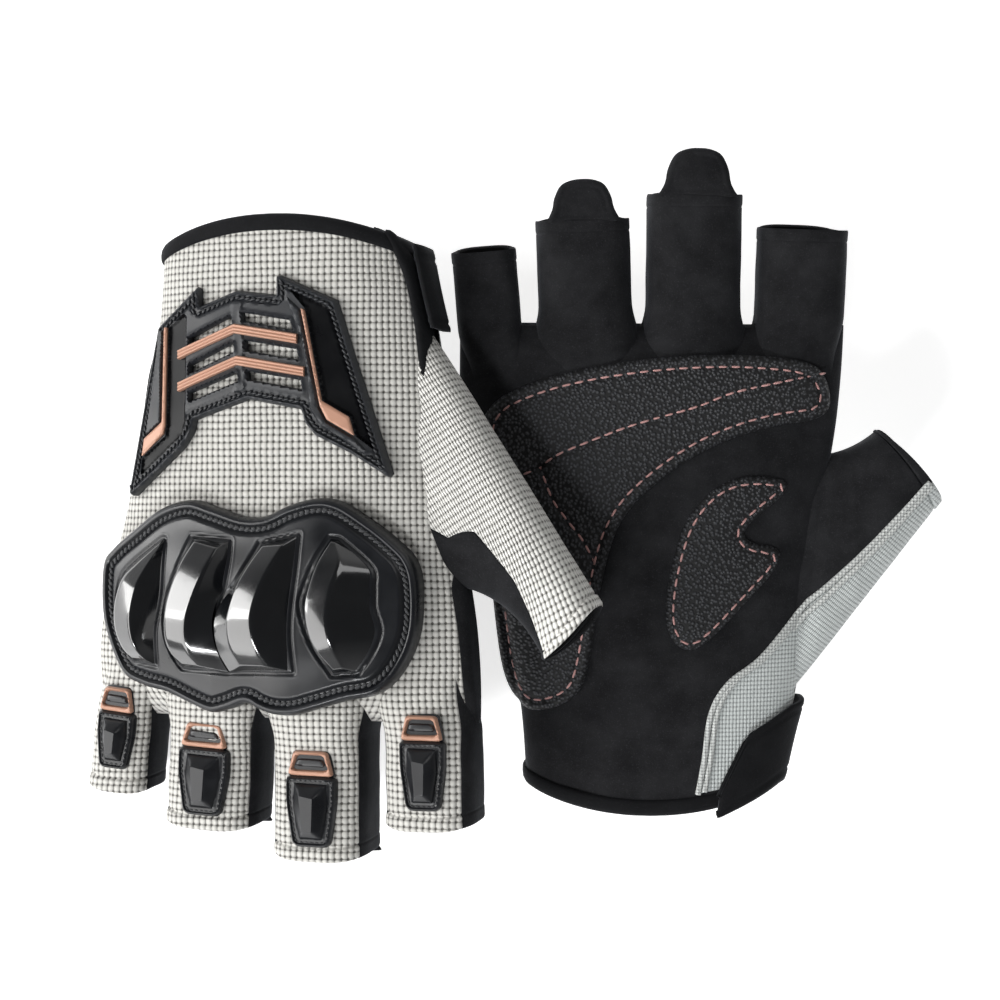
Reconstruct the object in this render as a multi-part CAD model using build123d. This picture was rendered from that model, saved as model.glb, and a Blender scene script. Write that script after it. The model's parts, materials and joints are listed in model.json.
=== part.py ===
from build123d import *
import math
import os

# A set of two half-finger riding gloves. Both are the same right-hand glove: the lower one lies
# palm up, and the upper one lies back up with its thumb across the lower one's palm.
# Each glove is built once in the hand frame, in millimetres: +X to the little finger, +Y to the
# fingertips, +Z out of the back of the hand, with y = 0 at the middle of the cuff's rim.

# The hand: a tube with a shallow arch on the back and another on the palm
BACK_CROWN = 13.5
BACK_RADIUS = 170.0
PALM_CROWN = 13.5
PALM_RADIUS = 240.0
SHOULDER = 7.0
SHELL = 1.6
SEAM_GAP = 0.1
# stations along the hand: y, x of the thumb edge, x of the little finger's edge
STATIONS = [(-2, -32.5, 31), (28, -38, 33.5), (50, -41.5, 37.5), (72, -44, 42), (98, -47.5, 48.5),
            (126, -49.5, 49.5)]
HAND_END = 126.0
LITTLE_END = 120.0
INDEX_END = 124.0

# The cuff: its rim bows outwards, and a binding is folded round it
RIM_THUMB = (-40, 10.5)
RIM_MIDDLE = (0, 0)
RIM_LITTLE = (40, 10.5)
BINDING_WIDTH = 4.0
BINDING_PROUD = 0.5

# The thumb: a flat tube that leaves the hand at an angle. The upper glove's is stretched out, and
# the lower one's is drawn in. Each has its angle, its outer length and its tip's inner corner.
THUMBS = {"upper_": (31.7, 77.0, (-66, 110)), "lower_": (36.5, 62.5, (-59, 99))}
THUMB_PIVOT = (-39.6, 31.0)
THUMB_WEB = (-45.0, 92.5)
THUMB_HEIGHT = 20.0
THUMB_SHELL = 1.5
THUMB_CLEAR = 0.8

# Finger stalls: x of the centre at the web, width, height, z of the palm side, y of the web,
# y of the open end, and the angle of splay
FINGERS = {
    "index": (-37.8, 22.5, 19.5, -10.5, INDEX_END, 151.5, -1.0),
    "middle": (-10.5, 24.0, 22.0, -11.5, HAND_END, 160.0, 0.0),
    "ring": (17.0, 24.0, 22.0, -11.5, HAND_END, 153.5, 2.5),
    "little": (41.3, 16.5, 18.0, -9.5, LITTLE_END, 145.5, 5.0),
}
STALL_SHELL = 1.4
STALL_CORNER = 6.0
STALL_GAP = 0.4
BACK_STRIP_DEPTH = 4.5
# Finger guards: width, y of the near end and of the far end
FINGER_GUARDS = {
    "index": (12.0, 129.5, 147.0),
    "middle": (13.5, 139.0, 157.0),
    "ring": (14.0, 133.0, 150.5),
    "little": (10.5, 125.0, 140.0),
}
FINGER_GUARD_THICK = 1.6
FINGER_BLOCK_HEIGHT = 2.4
LOOP_LENGTH = 4.4
# Pull tabs on the palm side of two stalls: width and length. The upper glove's are tucked back
# under their stalls, and the lower one's stand straight out.
PULL_TABS = {"ring": (15.0, 10.0), "middle": (16.0, 11.5)}
TAB_THICK = 1.3
TAB_CLEAR = 0.3
TAB_TURN = {"upper_": 180.0, "lower_": 0.0}

# The knuckle guard and the four raised bosses on it, as outlines of x and y. The bosses'
# outlines run anticlockwise, so that they rise outwards.
GUARD_OUTLINE = [(20, 71), (9, 73.5), (2, 75.5), (-5, 74), (-15, 70.5), (-22, 72), (-32, 78), (-38.5, 86),
                 (-39.5, 96), (-38.5, 106), (-33, 116), (-25, 120), (-15, 123), (-7, 124), (3, 121.3),
                 (11, 123.5), (21, 121), (30, 119), (40, 115.5), (45, 108), (47, 96), (46, 87),
                 (38, 79), (29, 73)]
GUARD_SEAT = 2.0
GUARD_TOP = 4.8
BOSS_OUTLINES = {
    "little": [(27, 81), (36, 86), (42, 95), (42.5, 104), (38, 111.5), (29.5, 112.5), (28.5, 96)],
    "ring": [(24, 90), (26.5, 99), (22, 113), (7.5, 113.5), (7.8, 101), (9, 91), (8.5, 81), (20, 80)],
    "middle": [(6, 91), (7, 101), (6.5, 113.5), (-8, 112), (-8, 95), (-9, 79.5), (0, 81)],
    "index": [(-13, 88), (-11, 97), (-18, 113), (-25, 112), (-30, 99), (-28, 87.5), (-18, 80.5)],
}
BOSS_HEIGHT = 6.0
BOSS_TAPER = 28.0
FOAM_INSET = 3.0
FOAM_BAND = (0.25, 1.75)

# The moulded trim on the back of the wrist, with three rows of windows and two copper chevrons
TRIM_OUTLINE = [(19.5, 17.5), (17, 17.7), (17, 22.4), (7, 19), (-3, 20), (-3, 15.5), (-6, 15),
                (-18.5, 22), (-21, 32), (-32, 64.5), (-30, 65.5), (-17.5, 57.5), (-11, 49),
                (4, 46), (18.5, 50.5), (24, 59.5), (38, 70.5), (39.5, 68.5), (30.5, 27)]
TRIM_BAND = (0.25, 2.3)
# windows: y at the middle and y at the outer end, on each side of the middle column
TRIM_WINDOWS = [(25, 29), (32, 36.3), (39, 43)]
WINDOW_INNER = 4.2
WINDOW_OUTER = 13.5
WINDOW_HEIGHT = 2.0
TRIM_MIDDLE = 5.2
CHEVRONS = [(28, 34), (35.5, 41.8)]
CHEVRON_HALF = 16.5
CHEVRON_WIDTH = 2.1
ACCENT_BAND = (2.45, 3.1)

# Reinforcing patches on the palm, each with a foam pad under its leather
PALM_PATCH = [(-46, 105), (-44.5, 112.5), (-40, 117), (-22, 118.5), (-4, 117.8), (14, 115.4),
              (30, 111.5), (43, 105), (44, 92), (42, 70), (39.5, 46), (37.5, 34), (34, 27.5),
              (29, 25.5), (19, 29.5), (15.5, 37), (12.5, 62), (8, 77), (-2, 87), (-15, 95.5),
              (-30, 100.5), (-42, 101.7)]
THUMB_PATCH = [(-37.5, 85.5), (-28, 88), (-17.5, 86.5), (-9, 78), (-5, 65), (-3.5, 52), (-5.5, 45),
               (-10, 42.5), (-15, 45), (-26, 57), (-33.5, 65), (-33, 69.5), (-24.5, 70.5), (-23, 74.5)]
PATCH_BAND = (1.5, 2.4)
PATCH_FOAM_BAND = (0.2, 1.3)
PATCH_FOAM_INSET = 4.0

# The wrist strap: from the thumb edge round to the palm, with hook and loop under its free end
STRAP_BAND = (2.1, 3.7)
HOOK_BAND = (1.15, 1.9)
LOOP_BAND = (0.2, 0.95)
STRAP_ROOT_Z = 4.0
STRAP_OUTLINE = [(-60, 8), (-60, 27), (-36, 27), (-26.5, 19.5), (-18.7, 1), (-20.5, 0.5), (-37, 8)]
HOOK_OUTLINE = [(-34, 10), (-34, 22), (-28, 19), (-23, 6)]
LOOP_OUTLINE = [(-34, 13), (-34, 25), (-19, 25), (-19, 8)]
VENT_OUTLINE = [(-33, 14), (-35.3, 40), (-34.6, 50), (-32.5, 42), (-29, 14)]
VENT_BAND = (0.25, 1.3)

# How each glove lies: place of its hand frame, then the tilt about +Y and about +X in degrees
UPPER_ORIGIN = (-60.2, 70.3, 26.6)
UPPER_TILT = -20.5
LOWER_ORIGIN = (33.4, -80.6, 17.7)
LOWER_TILT = -6.0
LOWER_PITCH = 5.0
UPPER_PLACE = Pos(*UPPER_ORIGIN) * Rot(0, UPPER_TILT, 0) * Rot(0, 0, 180)
LOWER_PLACE = Pos(*LOWER_ORIGIN) * Rot(LOWER_PITCH, LOWER_TILT, 0) * Rot(0, 180, 0)


def back_z(x):
    """Height of the back of the hand at x."""
    return BACK_CROWN - BACK_RADIUS + math.sqrt(BACK_RADIUS ** 2 - x ** 2)


def palm_z(x):
    """Height of the palm at x."""
    return PALM_RADIUS - PALM_CROWN - math.sqrt(PALM_RADIUS ** 2 - x ** 2)


def hand_section(y, x_thumb, x_little, grow):
    """Closed outline of the hand at y, grown outwards by grow."""
    plane = Plane(origin=(0, y, 0), x_dir=(1, 0, 0), z_dir=(0, -1, 0))
    left = x_thumb - grow
    right = x_little + grow
    left_top = (x_thumb + SHOULDER, back_z(x_thumb + SHOULDER) + grow)
    right_top = (x_little - SHOULDER, back_z(x_little - SHOULDER) + grow)
    left_bottom = (x_thumb + SHOULDER, palm_z(x_thumb + SHOULDER) - grow)
    right_bottom = (x_little - SHOULDER, palm_z(x_little - SHOULDER) - grow)
    middle = (x_thumb + x_little) / 2
    bulge = 0.25 * SHOULDER
    top = ThreePointArc(left_top, (middle, back_z(middle) + grow), right_top)
    right_upper = ThreePointArc(right_top, (right - bulge, 0.62 * right_top[1]), (right, 0))
    right_lower = ThreePointArc((right, 0), (right - bulge, 0.62 * right_bottom[1]), right_bottom)
    bottom = ThreePointArc(right_bottom, (middle, palm_z(middle) - grow), left_bottom)
    left_lower = ThreePointArc(left_bottom, (left + bulge, 0.62 * left_bottom[1]), (left, 0))
    left_upper = ThreePointArc((left, 0), (left + bulge, 0.62 * left_top[1]), left_top)
    outline = Wire([top, right_upper, right_lower, bottom, left_lower, left_upper])
    return plane * Face(outline)


def hand_block(grow):
    """The solid inside the hand's outline, grown outwards by grow."""
    faces = [hand_section(y, x_thumb, x_little, grow) for y, x_thumb, x_little in STATIONS]
    return loft(faces, ruled=True)


def hand_layer(low, high):
    """A layer round the hand, from low to high above its outer face."""
    return hand_block(high) - hand_block(low)


def prism(outline, reach=60.0):
    """Straight-sided block over an outline of x and y."""
    return extrude(make_face(Polyline(*outline, close=True)), reach, both=True)


def half_space(side, gap):
    """Everything on the back's side (+1) or the palm's side (-1) of the side seam."""
    return Pos(0, 70, side * (50 + gap)) * Box(300, 300, 100)


def back_layer(low, high):
    """A layer over the arch of the back."""
    centre = Pos(0, 70, BACK_CROWN - BACK_RADIUS) * Rot(90, 0, 0)
    ring = centre * (Cylinder(BACK_RADIUS + high, 180) - Cylinder(BACK_RADIUS + low, 180))
    return ring & half_space(1, -5)


def palm_layer(low, high):
    """A layer over the arch of the palm."""
    centre = Pos(0, 70, PALM_RADIUS - PALM_CROWN) * Rot(90, 0, 0)
    ring = centre * (Cylinder(PALM_RADIUS + high, 180) - Cylinder(PALM_RADIUS + low, 180))
    return ring & half_space(-1, -5)


def beyond_rim(inset):
    """The block on the wrist's side of the cuff's rim, moved inset towards the fingers."""
    rim = ThreePointArc(RIM_THUMB, RIM_MIDDLE, RIM_LITTLE)
    back = Polyline(RIM_LITTLE, (40, -30), (-40, -30), RIM_THUMB)
    return Pos(0, inset, 0) * extrude(make_face([rim, back]), 60, both=True)


def inset_prism(outline, inset):
    """Straight-sided block over an outline drawn in by inset."""
    face = make_face(Polyline(*outline, close=True))
    return extrude(offset(face, -inset), 60, both=True)


def hand_shell():
    """The open tube of the hand, cut back at the rim, the webs and the thumb's hole."""
    shell = hand_layer(-SHELL, 0)
    shell -= beyond_rim(BINDING_WIDTH + 0.2)
    shell -= Pos(31 + 50, LITTLE_END + 50, 0) * Box(100, 100, 100)
    shell -= Pos(-24 - 50, INDEX_END + 50, 0) * Box(100, 100, 100)
    shell -= Pos(-50, 64, 0) * Box(30, 40, 15)
    return shell


def cuff_binding():
    """Binding folded round the rim, and the strip along the vent."""
    band = hand_layer(-SHELL - BINDING_PROUD, BINDING_PROUD)
    band &= beyond_rim(BINDING_WIDTH)
    band -= beyond_rim(0)
    vent = prism(VENT_OUTLINE) & back_layer(*VENT_BAND)
    return Compound([band.solid(), vent.solid()])


def knuckle_guard():
    """Moulded shell over the knuckles with four raised bosses."""
    guard = prism(GUARD_OUTLINE) & back_layer(GUARD_SEAT, GUARD_TOP)
    for outline in BOSS_OUTLINES.values():
        x_mid = sum(x for x, y in outline) / len(outline)
        y_mid = sum(y for x, y in outline) / len(outline)
        lean = math.asin(x_mid / BACK_RADIUS)
        base = back_z(x_mid) + GUARD_SEAT + 1
        plane = Plane(origin=(x_mid, y_mid, base), x_dir=(math.cos(lean), 0, -math.sin(lean)),
                      z_dir=(math.sin(lean), 0, math.cos(lean)))
        local = [(x - x_mid, y - y_mid) for x, y in outline]
        foot = plane * make_face(Polyline(*local, close=True))
        height = GUARD_TOP - GUARD_SEAT - 1 + BOSS_HEIGHT
        guard += extrude(foot, height, taper=BOSS_TAPER)
    return guard


def wrist_trim():
    """Moulded trim over the wrist with rows of slanted windows."""
    trim = prism(TRIM_OUTLINE) & back_layer(*TRIM_BAND)
    for y_inner, y_outer in TRIM_WINDOWS:
        for side in (-1, 1):
            inner = TRIM_MIDDLE + side * WINDOW_INNER
            outer = TRIM_MIDDLE + side * WINDOW_OUTER
            window = [(inner, y_inner), (outer, y_outer), (outer, y_outer + WINDOW_HEIGHT),
                      (inner, y_inner + WINDOW_HEIGHT)]
            trim -= prism(window)
    return trim


def trim_accents():
    """Two copper-coloured chevrons on the wrist trim."""
    bars = []
    for y_middle, y_end in CHEVRONS:
        left = TRIM_MIDDLE - CHEVRON_HALF
        right = TRIM_MIDDLE + CHEVRON_HALF
        chevron = [(left, y_end), (TRIM_MIDDLE, y_middle), (right, y_end),
                   (right, y_end + CHEVRON_WIDTH), (TRIM_MIDDLE, y_middle + CHEVRON_WIDTH),
                   (left, y_end + CHEVRON_WIDTH)]
        bars.append((prism(chevron) & back_layer(*ACCENT_BAND)).solid())
    return Compound(bars)


def strap_piece(outline, band):
    """Part of a layer round the palm's thumb side, under the strap's outline."""
    piece = hand_layer(*band) & prism(outline)
    return piece & (Pos(0, 0, STRAP_ROOT_Z - 50) * Box(300, 300, 100))


def thumb_outline(prefix, grow):
    """Plan of one glove's thumb, from inside the hand to its tip, grown by grow."""
    angle, length, inner_corner = THUMBS[prefix]
    along = (-math.sin(math.radians(angle)), math.cos(math.radians(angle)))
    outward = (-along[1], along[0])
    heel = (THUMB_PIVOT[0] + grow * outward[0], THUMB_PIVOT[1] + grow * outward[1])
    tip_outer = (heel[0] + length * along[0], heel[1] + length * along[1])
    tip_inner = (inner_corner[0], inner_corner[1] + grow)
    web = (THUMB_WEB[0], THUMB_WEB[1] + grow)
    return [heel, tip_outer, tip_inner, web, (-30, 85), (-30, 40)]


def thumb_tube(prefix):
    """One glove's thumb stall, open at its tip and where it joins the hand."""
    outer_face = make_face(Polyline(*thumb_outline(prefix, 0), close=True))
    inner_face = make_face(Polyline(*thumb_outline(prefix, -THUMB_SHELL), close=True))
    outer = extrude(outer_face, THUMB_HEIGHT / 2, both=True)
    inner = extrude(inner_face, THUMB_HEIGHT / 2 - THUMB_SHELL, both=True)
    heel, tip_outer, tip_inner = thumb_outline(prefix, 0)[:3]
    outer = round_long_edge(outer, heel, tip_outer, 8.0)
    inner_heel, inner_tip = thumb_outline(prefix, -THUMB_SHELL)[:2]
    inner = round_long_edge(inner, inner_heel, inner_tip, 6.5)
    tube = outer - inner
    reach = (tip_outer[0] - tip_inner[0], tip_outer[1] - tip_inner[1])
    length = math.hypot(*reach)
    back = (reach[1] / length, -reach[0] / length)
    mouth = [tip_outer, tip_inner, (tip_inner[0] + 2 * back[0], tip_inner[1] + 2 * back[1]),
             (tip_outer[0] + 2 * back[0], tip_outer[1] + 2 * back[1])]
    tube -= extrude(make_face(Polyline(*mouth, close=True)), THUMB_HEIGHT / 2 - THUMB_SHELL, both=True)
    return tube - hand_block(THUMB_CLEAR)


def round_long_edge(block, start, end, radius):
    """Round the block's two edges above and below the line from start to end."""
    middle = Vector((start[0] + end[0]) / 2, (start[1] + end[1]) / 2, 0)
    edges = [edge for edge in block.edges()
             if math.hypot(edge.center().X - middle.X, edge.center().Y - middle.Y) < 0.5]
    return fillet(edges, radius)


def finger_place(name):
    """Place of a stall's own frame: x across, y along, z up, at its web and palm side."""
    x_mid, width, height, z_low, y_web, y_end, splay = FINGERS[name]
    clear = STALL_GAP + abs(math.tan(math.radians(splay))) * width / 2
    return Pos(x_mid, y_web + clear, z_low) * Rot(0, 0, -splay)


def stall_tube(name):
    """The whole stall in its own frame."""
    x_mid, width, height, z_low, y_web, y_end, splay = FINGERS[name]
    length = y_end - y_web - STALL_GAP
    plane = Plane(origin=(0, 0, height / 2), x_dir=(1, 0, 0), z_dir=(0, 1, 0))
    outer = plane * RectangleRounded(width, height, STALL_CORNER)
    inner = plane * RectangleRounded(width - 2 * STALL_SHELL, height - 2 * STALL_SHELL,
                                     STALL_CORNER - STALL_SHELL)
    return extrude(outer, length) - extrude(inner, length)


def stall_parts(name):
    """Back strip, front with side walls, and guard with its loop, of one finger."""
    x_mid, width, height, z_low, y_web, y_end, splay = FINGERS[name]
    place = finger_place(name)
    tube = stall_tube(name)
    strip_low = height - BACK_STRIP_DEPTH
    strip_box = Pos(0, 20, strip_low + 10) * Box(width - 2.0, 100, 20)
    wall_box = Pos(0, 20, strip_low + 10 - 0.1) * Box(width - 2.0 + 0.2, 100, 20.2)
    parts = {name + "_back": place * (tube & strip_box), name + "_front": place * (tube - wall_box)}
    guard_width, y_near, y_far = FINGER_GUARDS[name]
    start = y_near - y_web - STALL_GAP
    length = y_far - y_near
    seat = height + 0.15
    plate = Pos(0, start + length / 2, seat + FINGER_GUARD_THICK / 2) * Box(
        guard_width, length, FINGER_GUARD_THICK)
    plate = fillet(plate.edges().filter_by(Axis.Z), 2.0)
    foot = Pos(0, start + length / 2, seat + FINGER_GUARD_THICK) * Rectangle(
        guard_width - 3, length - 4)
    plate += extrude(foot, FINGER_BLOCK_HEIGHT, taper=35)
    loop_y = start - 0.2 - LOOP_LENGTH / 2
    loop = Pos(0, loop_y, seat + FINGER_GUARD_THICK / 2) * (
        Box(guard_width - 4, LOOP_LENGTH, FINGER_GUARD_THICK) - Box(guard_width - 8, 1.8, 5))
    parts[name + "_guard"] = place * Compound([plate.solid(), loop.solid()])
    return parts


def pull_tab(prefix, name):
    """Rounded tongue at a stall's palm-side end, turned as it lies on one glove."""
    x_mid, width, height, z_low, y_web, y_end, splay = FINGERS[name]
    tab_width, tab_length = PULL_TABS[name]
    tongue = Pos(0, tab_length / 2, 0) * RectangleRounded(tab_width, tab_length, 4.5)
    root = Pos(0, 2.5, 0) * Rectangle(tab_width, 5)
    blade = Pos(0, TAB_CLEAR / 2, TAB_CLEAR / 2) * extrude(tongue + root, TAB_THICK)
    hinge = Pos(0, y_end - y_web - STALL_GAP + TAB_CLEAR / 2, -TAB_CLEAR / 2)
    return finger_place(name) * hinge * Rot(-TAB_TURN[prefix], 0, 0) * blade


def glove():
    """Every piece that both gloves share, in the hand frame."""
    shell = hand_shell()
    parts = {
        "dorsal_panel": shell & half_space(1, SEAM_GAP),
        "palm_panel": shell & half_space(-1, SEAM_GAP),
        "cuff_binding": cuff_binding(),
        "knuckle_guard": knuckle_guard(),
        "knuckle_foam": inset_prism(GUARD_OUTLINE, FOAM_INSET) & back_layer(*FOAM_BAND),
        "wrist_trim": wrist_trim(),
        "trim_accents": trim_accents(),
        "palm_patch": prism(PALM_PATCH) & palm_layer(*PATCH_BAND),
        "thumb_patch": prism(THUMB_PATCH) & palm_layer(*PATCH_BAND),
        "palm_foam": inset_prism(PALM_PATCH, PATCH_FOAM_INSET) & palm_layer(*PATCH_FOAM_BAND),
        "loop_patch": strap_piece(LOOP_OUTLINE, LOOP_BAND),
        "hook_pad": strap_piece(HOOK_OUTLINE, HOOK_BAND),
        "wrist_strap": strap_piece(STRAP_OUTLINE, STRAP_BAND),
    }
    for name in FINGERS:
        parts.update(stall_parts(name))
    return parts


def build():
    """Both gloves where they lie, as node names and shapes."""
    pieces = glove()
    nodes = {}
    for prefix, place in (("upper_", UPPER_PLACE), ("lower_", LOWER_PLACE)):
        thumb = thumb_tube(prefix)
        pieces["thumb_back"] = thumb & half_space(1, SEAM_GAP)
        pieces["thumb_front"] = thumb & half_space(-1, SEAM_GAP)
        for name in PULL_TABS:
            pieces[name + "_tab"] = pull_tab(prefix, name)
        for name, shape in pieces.items():
            nodes[prefix + name] = place * shape
    return nodes


if __name__ == "__main__":
    os.makedirs("parts", exist_ok=True)
    for node, shape in build().items():
        export_step(shape, f"parts/{node}.step")
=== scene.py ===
import json
import math

import bpy
import numpy as np
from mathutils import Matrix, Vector
from mathutils.geometry import delaunay_2d_cdt


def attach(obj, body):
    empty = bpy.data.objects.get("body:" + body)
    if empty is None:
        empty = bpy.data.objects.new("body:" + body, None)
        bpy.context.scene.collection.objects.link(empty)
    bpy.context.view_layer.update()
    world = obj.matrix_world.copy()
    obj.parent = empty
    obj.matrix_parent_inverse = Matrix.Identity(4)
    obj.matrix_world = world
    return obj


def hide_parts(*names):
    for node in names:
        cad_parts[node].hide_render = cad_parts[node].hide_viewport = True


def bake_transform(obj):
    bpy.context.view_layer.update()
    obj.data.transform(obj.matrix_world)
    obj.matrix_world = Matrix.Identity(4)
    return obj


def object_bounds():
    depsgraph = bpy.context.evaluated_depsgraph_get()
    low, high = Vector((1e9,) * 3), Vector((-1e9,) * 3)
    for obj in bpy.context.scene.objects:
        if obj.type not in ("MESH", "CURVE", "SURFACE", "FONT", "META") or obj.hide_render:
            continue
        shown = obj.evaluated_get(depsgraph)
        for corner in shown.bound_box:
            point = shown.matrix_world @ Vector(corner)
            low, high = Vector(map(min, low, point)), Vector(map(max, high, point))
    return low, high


# A set of two half-finger riding gloves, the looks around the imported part.
# Every glove piece is made once in its hand frame, in millimetres: +X to the little finger,
# +Y to the fingertips, +Z out of the back of the hand, y = 0 at the middle of the cuff's rim.

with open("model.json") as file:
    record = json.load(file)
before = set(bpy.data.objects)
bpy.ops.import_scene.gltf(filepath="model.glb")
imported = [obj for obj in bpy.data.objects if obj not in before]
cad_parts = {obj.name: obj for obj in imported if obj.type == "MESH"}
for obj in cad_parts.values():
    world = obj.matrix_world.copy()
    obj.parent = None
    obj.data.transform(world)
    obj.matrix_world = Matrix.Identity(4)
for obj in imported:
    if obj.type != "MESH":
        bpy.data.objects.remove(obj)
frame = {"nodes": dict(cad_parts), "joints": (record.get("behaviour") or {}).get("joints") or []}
CAD_BOX = [list(corner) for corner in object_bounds()]
JOINTS = {joint["name"]: joint for joint in frame["joints"]}
MM = 0.001

# ---------------------------------------------------------------- driving sizes, as in the part
BACK_CROWN, BACK_RADIUS = 13.5, 170.0
PALM_CROWN, PALM_RADIUS = 13.5, 240.0
STATION_Y = [-2, 28, 50, 72, 98, 126]
THUMB_SIDE = [-32.5, -38, -41.5, -44, -47.5, -49.5]
LITTLE_SIDE = [31, 33.5, 37.5, 42, 48.5, 49.5]
RIM_RADIUS = 81.4
THUMB_PIVOT = np.array([-39.6, 31.0])
THUMB_WEB = np.array([-45.0, 92.5])
THUMBS = {"upper": (31.7, 77.0, (-66, 110)), "lower": (36.5, 62.5, (-59, 99))}
FINGERS = {  # middle x, width, height, z of the palm side, y of the web, y of the mouth, splay
    "index": (-37.8, 22.5, 19.5, -10.5, 124, 151.5, -1),
    "middle": (-10.5, 24, 22, -11.5, 126, 160, 0),
    "ring": (17, 24, 22, -11.5, 126, 153.5, 2.5),
    "little": (41.3, 16.5, 18, -9.5, 120, 145.5, 5),
}
FINGER_GUARDS = {"index": (12, 129.5, 147), "middle": (13.5, 139, 157),
                 "ring": (14, 133, 150.5), "little": (10.5, 125, 140)}
FABRIC = 1.2
PROUD = 0.035
CORD_RADIUS = 0.75


# ---------------------------------------------------------------- small helpers
def step(low, high, value):
    """Smooth step from 0 at low to 1 at high."""
    t = np.clip((np.asarray(value, float) - low) / (high - low), 0, 1)
    return t * t * (3 - 2 * t)


def rounded(inward, width):
    """0 at an edge, rising along a quarter round to 1 a width inwards."""
    return np.sqrt(np.clip(inward / width, 0, 1))


def bell(away, width):
    return np.exp(-(away / width) ** 2)


def back_z(x):
    return BACK_CROWN - BACK_RADIUS + np.sqrt(BACK_RADIUS ** 2 - np.asarray(x, float) ** 2)


def palm_z(x):
    return PALM_RADIUS - PALM_CROWN - np.sqrt(PALM_RADIUS ** 2 - np.asarray(x, float) ** 2)


def spline(points, count, closed=False):
    """Points on a Catmull-Rom curve through the given ones."""
    p = np.array(points, float)
    n = len(p)
    if closed:
        t = np.linspace(0, n, count, endpoint=False)
        i = np.floor(t).astype(int)
        picks = [(i + k) % n for k in (-1, 0, 1, 2)]
    else:
        t = np.linspace(0, n - 1, count)
        i = np.minimum(np.floor(t).astype(int), n - 2)
        picks = [np.clip(i + k, 0, n - 1) for k in (-1, 0, 1, 2)]
    f = (t - i)[:, None]
    a, b, c, d = (p[k] for k in picks)
    return 0.5 * (2 * b + (c - a) * f + (2 * a - 5 * b + 4 * c - d) * f ** 2
                  + (3 * b - a - 3 * c + d) * f ** 3)


def chaikin(points, rounds=2, share=0.25):
    """Closed outline with its corners cut off, again and again."""
    p = np.array(points, float)
    for _ in range(rounds):
        q = np.roll(p, -1, 0)
        p = np.stack([p + share * (q - p), q - share * (q - p)], 1).reshape(-1, p.shape[1])
    return p


def resample(points, spacing, closed=True):
    """Points at even distances along a line."""
    p = np.array(points, float)
    if closed:
        p = np.vstack([p, p[:1]])
    run = np.concatenate([[0], np.cumsum(np.linalg.norm(np.diff(p, axis=0), axis=1))])
    count = max(3, int(round(run[-1] / spacing)))
    at = np.linspace(0, run[-1], count, endpoint=not closed)
    return np.stack([np.interp(at, run, p[:, k]) for k in range(p.shape[1])], 1)


def depth(points, outline):
    """Distance of each point inside an outline; negative outside."""
    p = np.asarray(points, float)
    a = np.array(outline, float)
    b = np.roll(a, -1, 0)
    best = np.full(len(p), 1e9)
    inside = np.zeros(len(p), bool)
    for s, e in zip(a, b):
        d = e - s
        length2 = max(float(d @ d), 1e-12)
        t = np.clip(((p - s) @ d) / length2, 0, 1)
        best = np.minimum(best, np.linalg.norm(p - (s + t[:, None] * d), axis=1))
        crosses = (s[1] > p[:, 1]) != (e[1] > p[:, 1])
        if s[1] != e[1]:
            x_at = s[0] + (p[:, 1] - s[1]) * d[0] / d[1]
            inside ^= crosses & (p[:, 0] < x_at)
    return np.where(inside, best, -best)


def inset(outline, distance):
    """Closed outline moved inwards, corners mitred and limited."""
    p = np.array(outline, float)
    area = np.sum(p[:, 0] * np.roll(p[:, 1], -1) - np.roll(p[:, 0], -1) * p[:, 1])
    forward = np.roll(p, -1, 0) - p
    forward /= np.maximum(np.linalg.norm(forward, axis=1), 1e-9)[:, None]
    normal = np.stack([-forward[:, 1], forward[:, 0]], 1) * np.sign(area)
    before = np.roll(normal, 1, 0)
    mitre = before + normal
    mitre /= np.maximum(1 + np.sum(before * normal, axis=1), 0.45)[:, None]
    return p + distance * mitre


def wobble(p, size=0.25, scale=1.0):
    """Soft unevenness of cloth, in millimetres."""
    x, y, z = p[..., 0] * scale, p[..., 1] * scale, p[..., 2] * scale
    return size * (np.sin(0.19 * x + 0.11 * y + 0.7) * np.sin(0.13 * y - 0.07 * x + 1.9)
                   + 0.6 * np.sin(0.31 * y + 0.17 * x + 0.23 * z) * np.sin(0.27 * x - 0.09 * y + 0.4))


# ---------------------------------------------------------------- meshes in the making
class Soup:
    """Points, faces, material slots and flat cloth coordinates, gathered before a mesh is made."""

    def __init__(self):
        self.points, self.faces, self.slots, self.flat = [], [], [], []
        self.count = 0

    def add(self, points, faces, slot=0, flat=None):
        points = np.asarray(points, float).reshape(-1, 3)
        flat = points[:, :2] if flat is None else np.asarray(flat, float).reshape(-1, 2)
        self.points.append(points)
        self.flat.append(flat)
        self.faces += [tuple(int(i) + self.count for i in face) for face in faces]
        slots = [slot] * len(faces) if np.isscalar(slot) else list(slot)
        self.slots += slots
        self.count += len(points)
        return self

    def join(self, other):
        return self.add(np.vstack(other.points), other.faces, other.slots, np.vstack(other.flat))

    def moved(self, change):
        """The same surface with its points changed by a function."""
        return Soup().add(change(np.vstack(self.points)), self.faces, self.slots, np.vstack(self.flat))

    def flipped(self):
        """The same surface facing the other way, all in the first slot."""
        faces = [face[::-1] for face in self.faces]
        return Soup().add(np.vstack(self.points), faces, 0, np.vstack(self.flat))


def grid(rows, cols, closed=False, flip=False):
    faces = []
    for i in range(rows - 1):
        for j in range(cols if closed else cols - 1):
            a, b = i * cols + j, i * cols + (j + 1) % cols
            face = (a, b, b + cols, a + cols)
            faces.append(face[::-1] if flip else face)
    return faces


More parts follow.
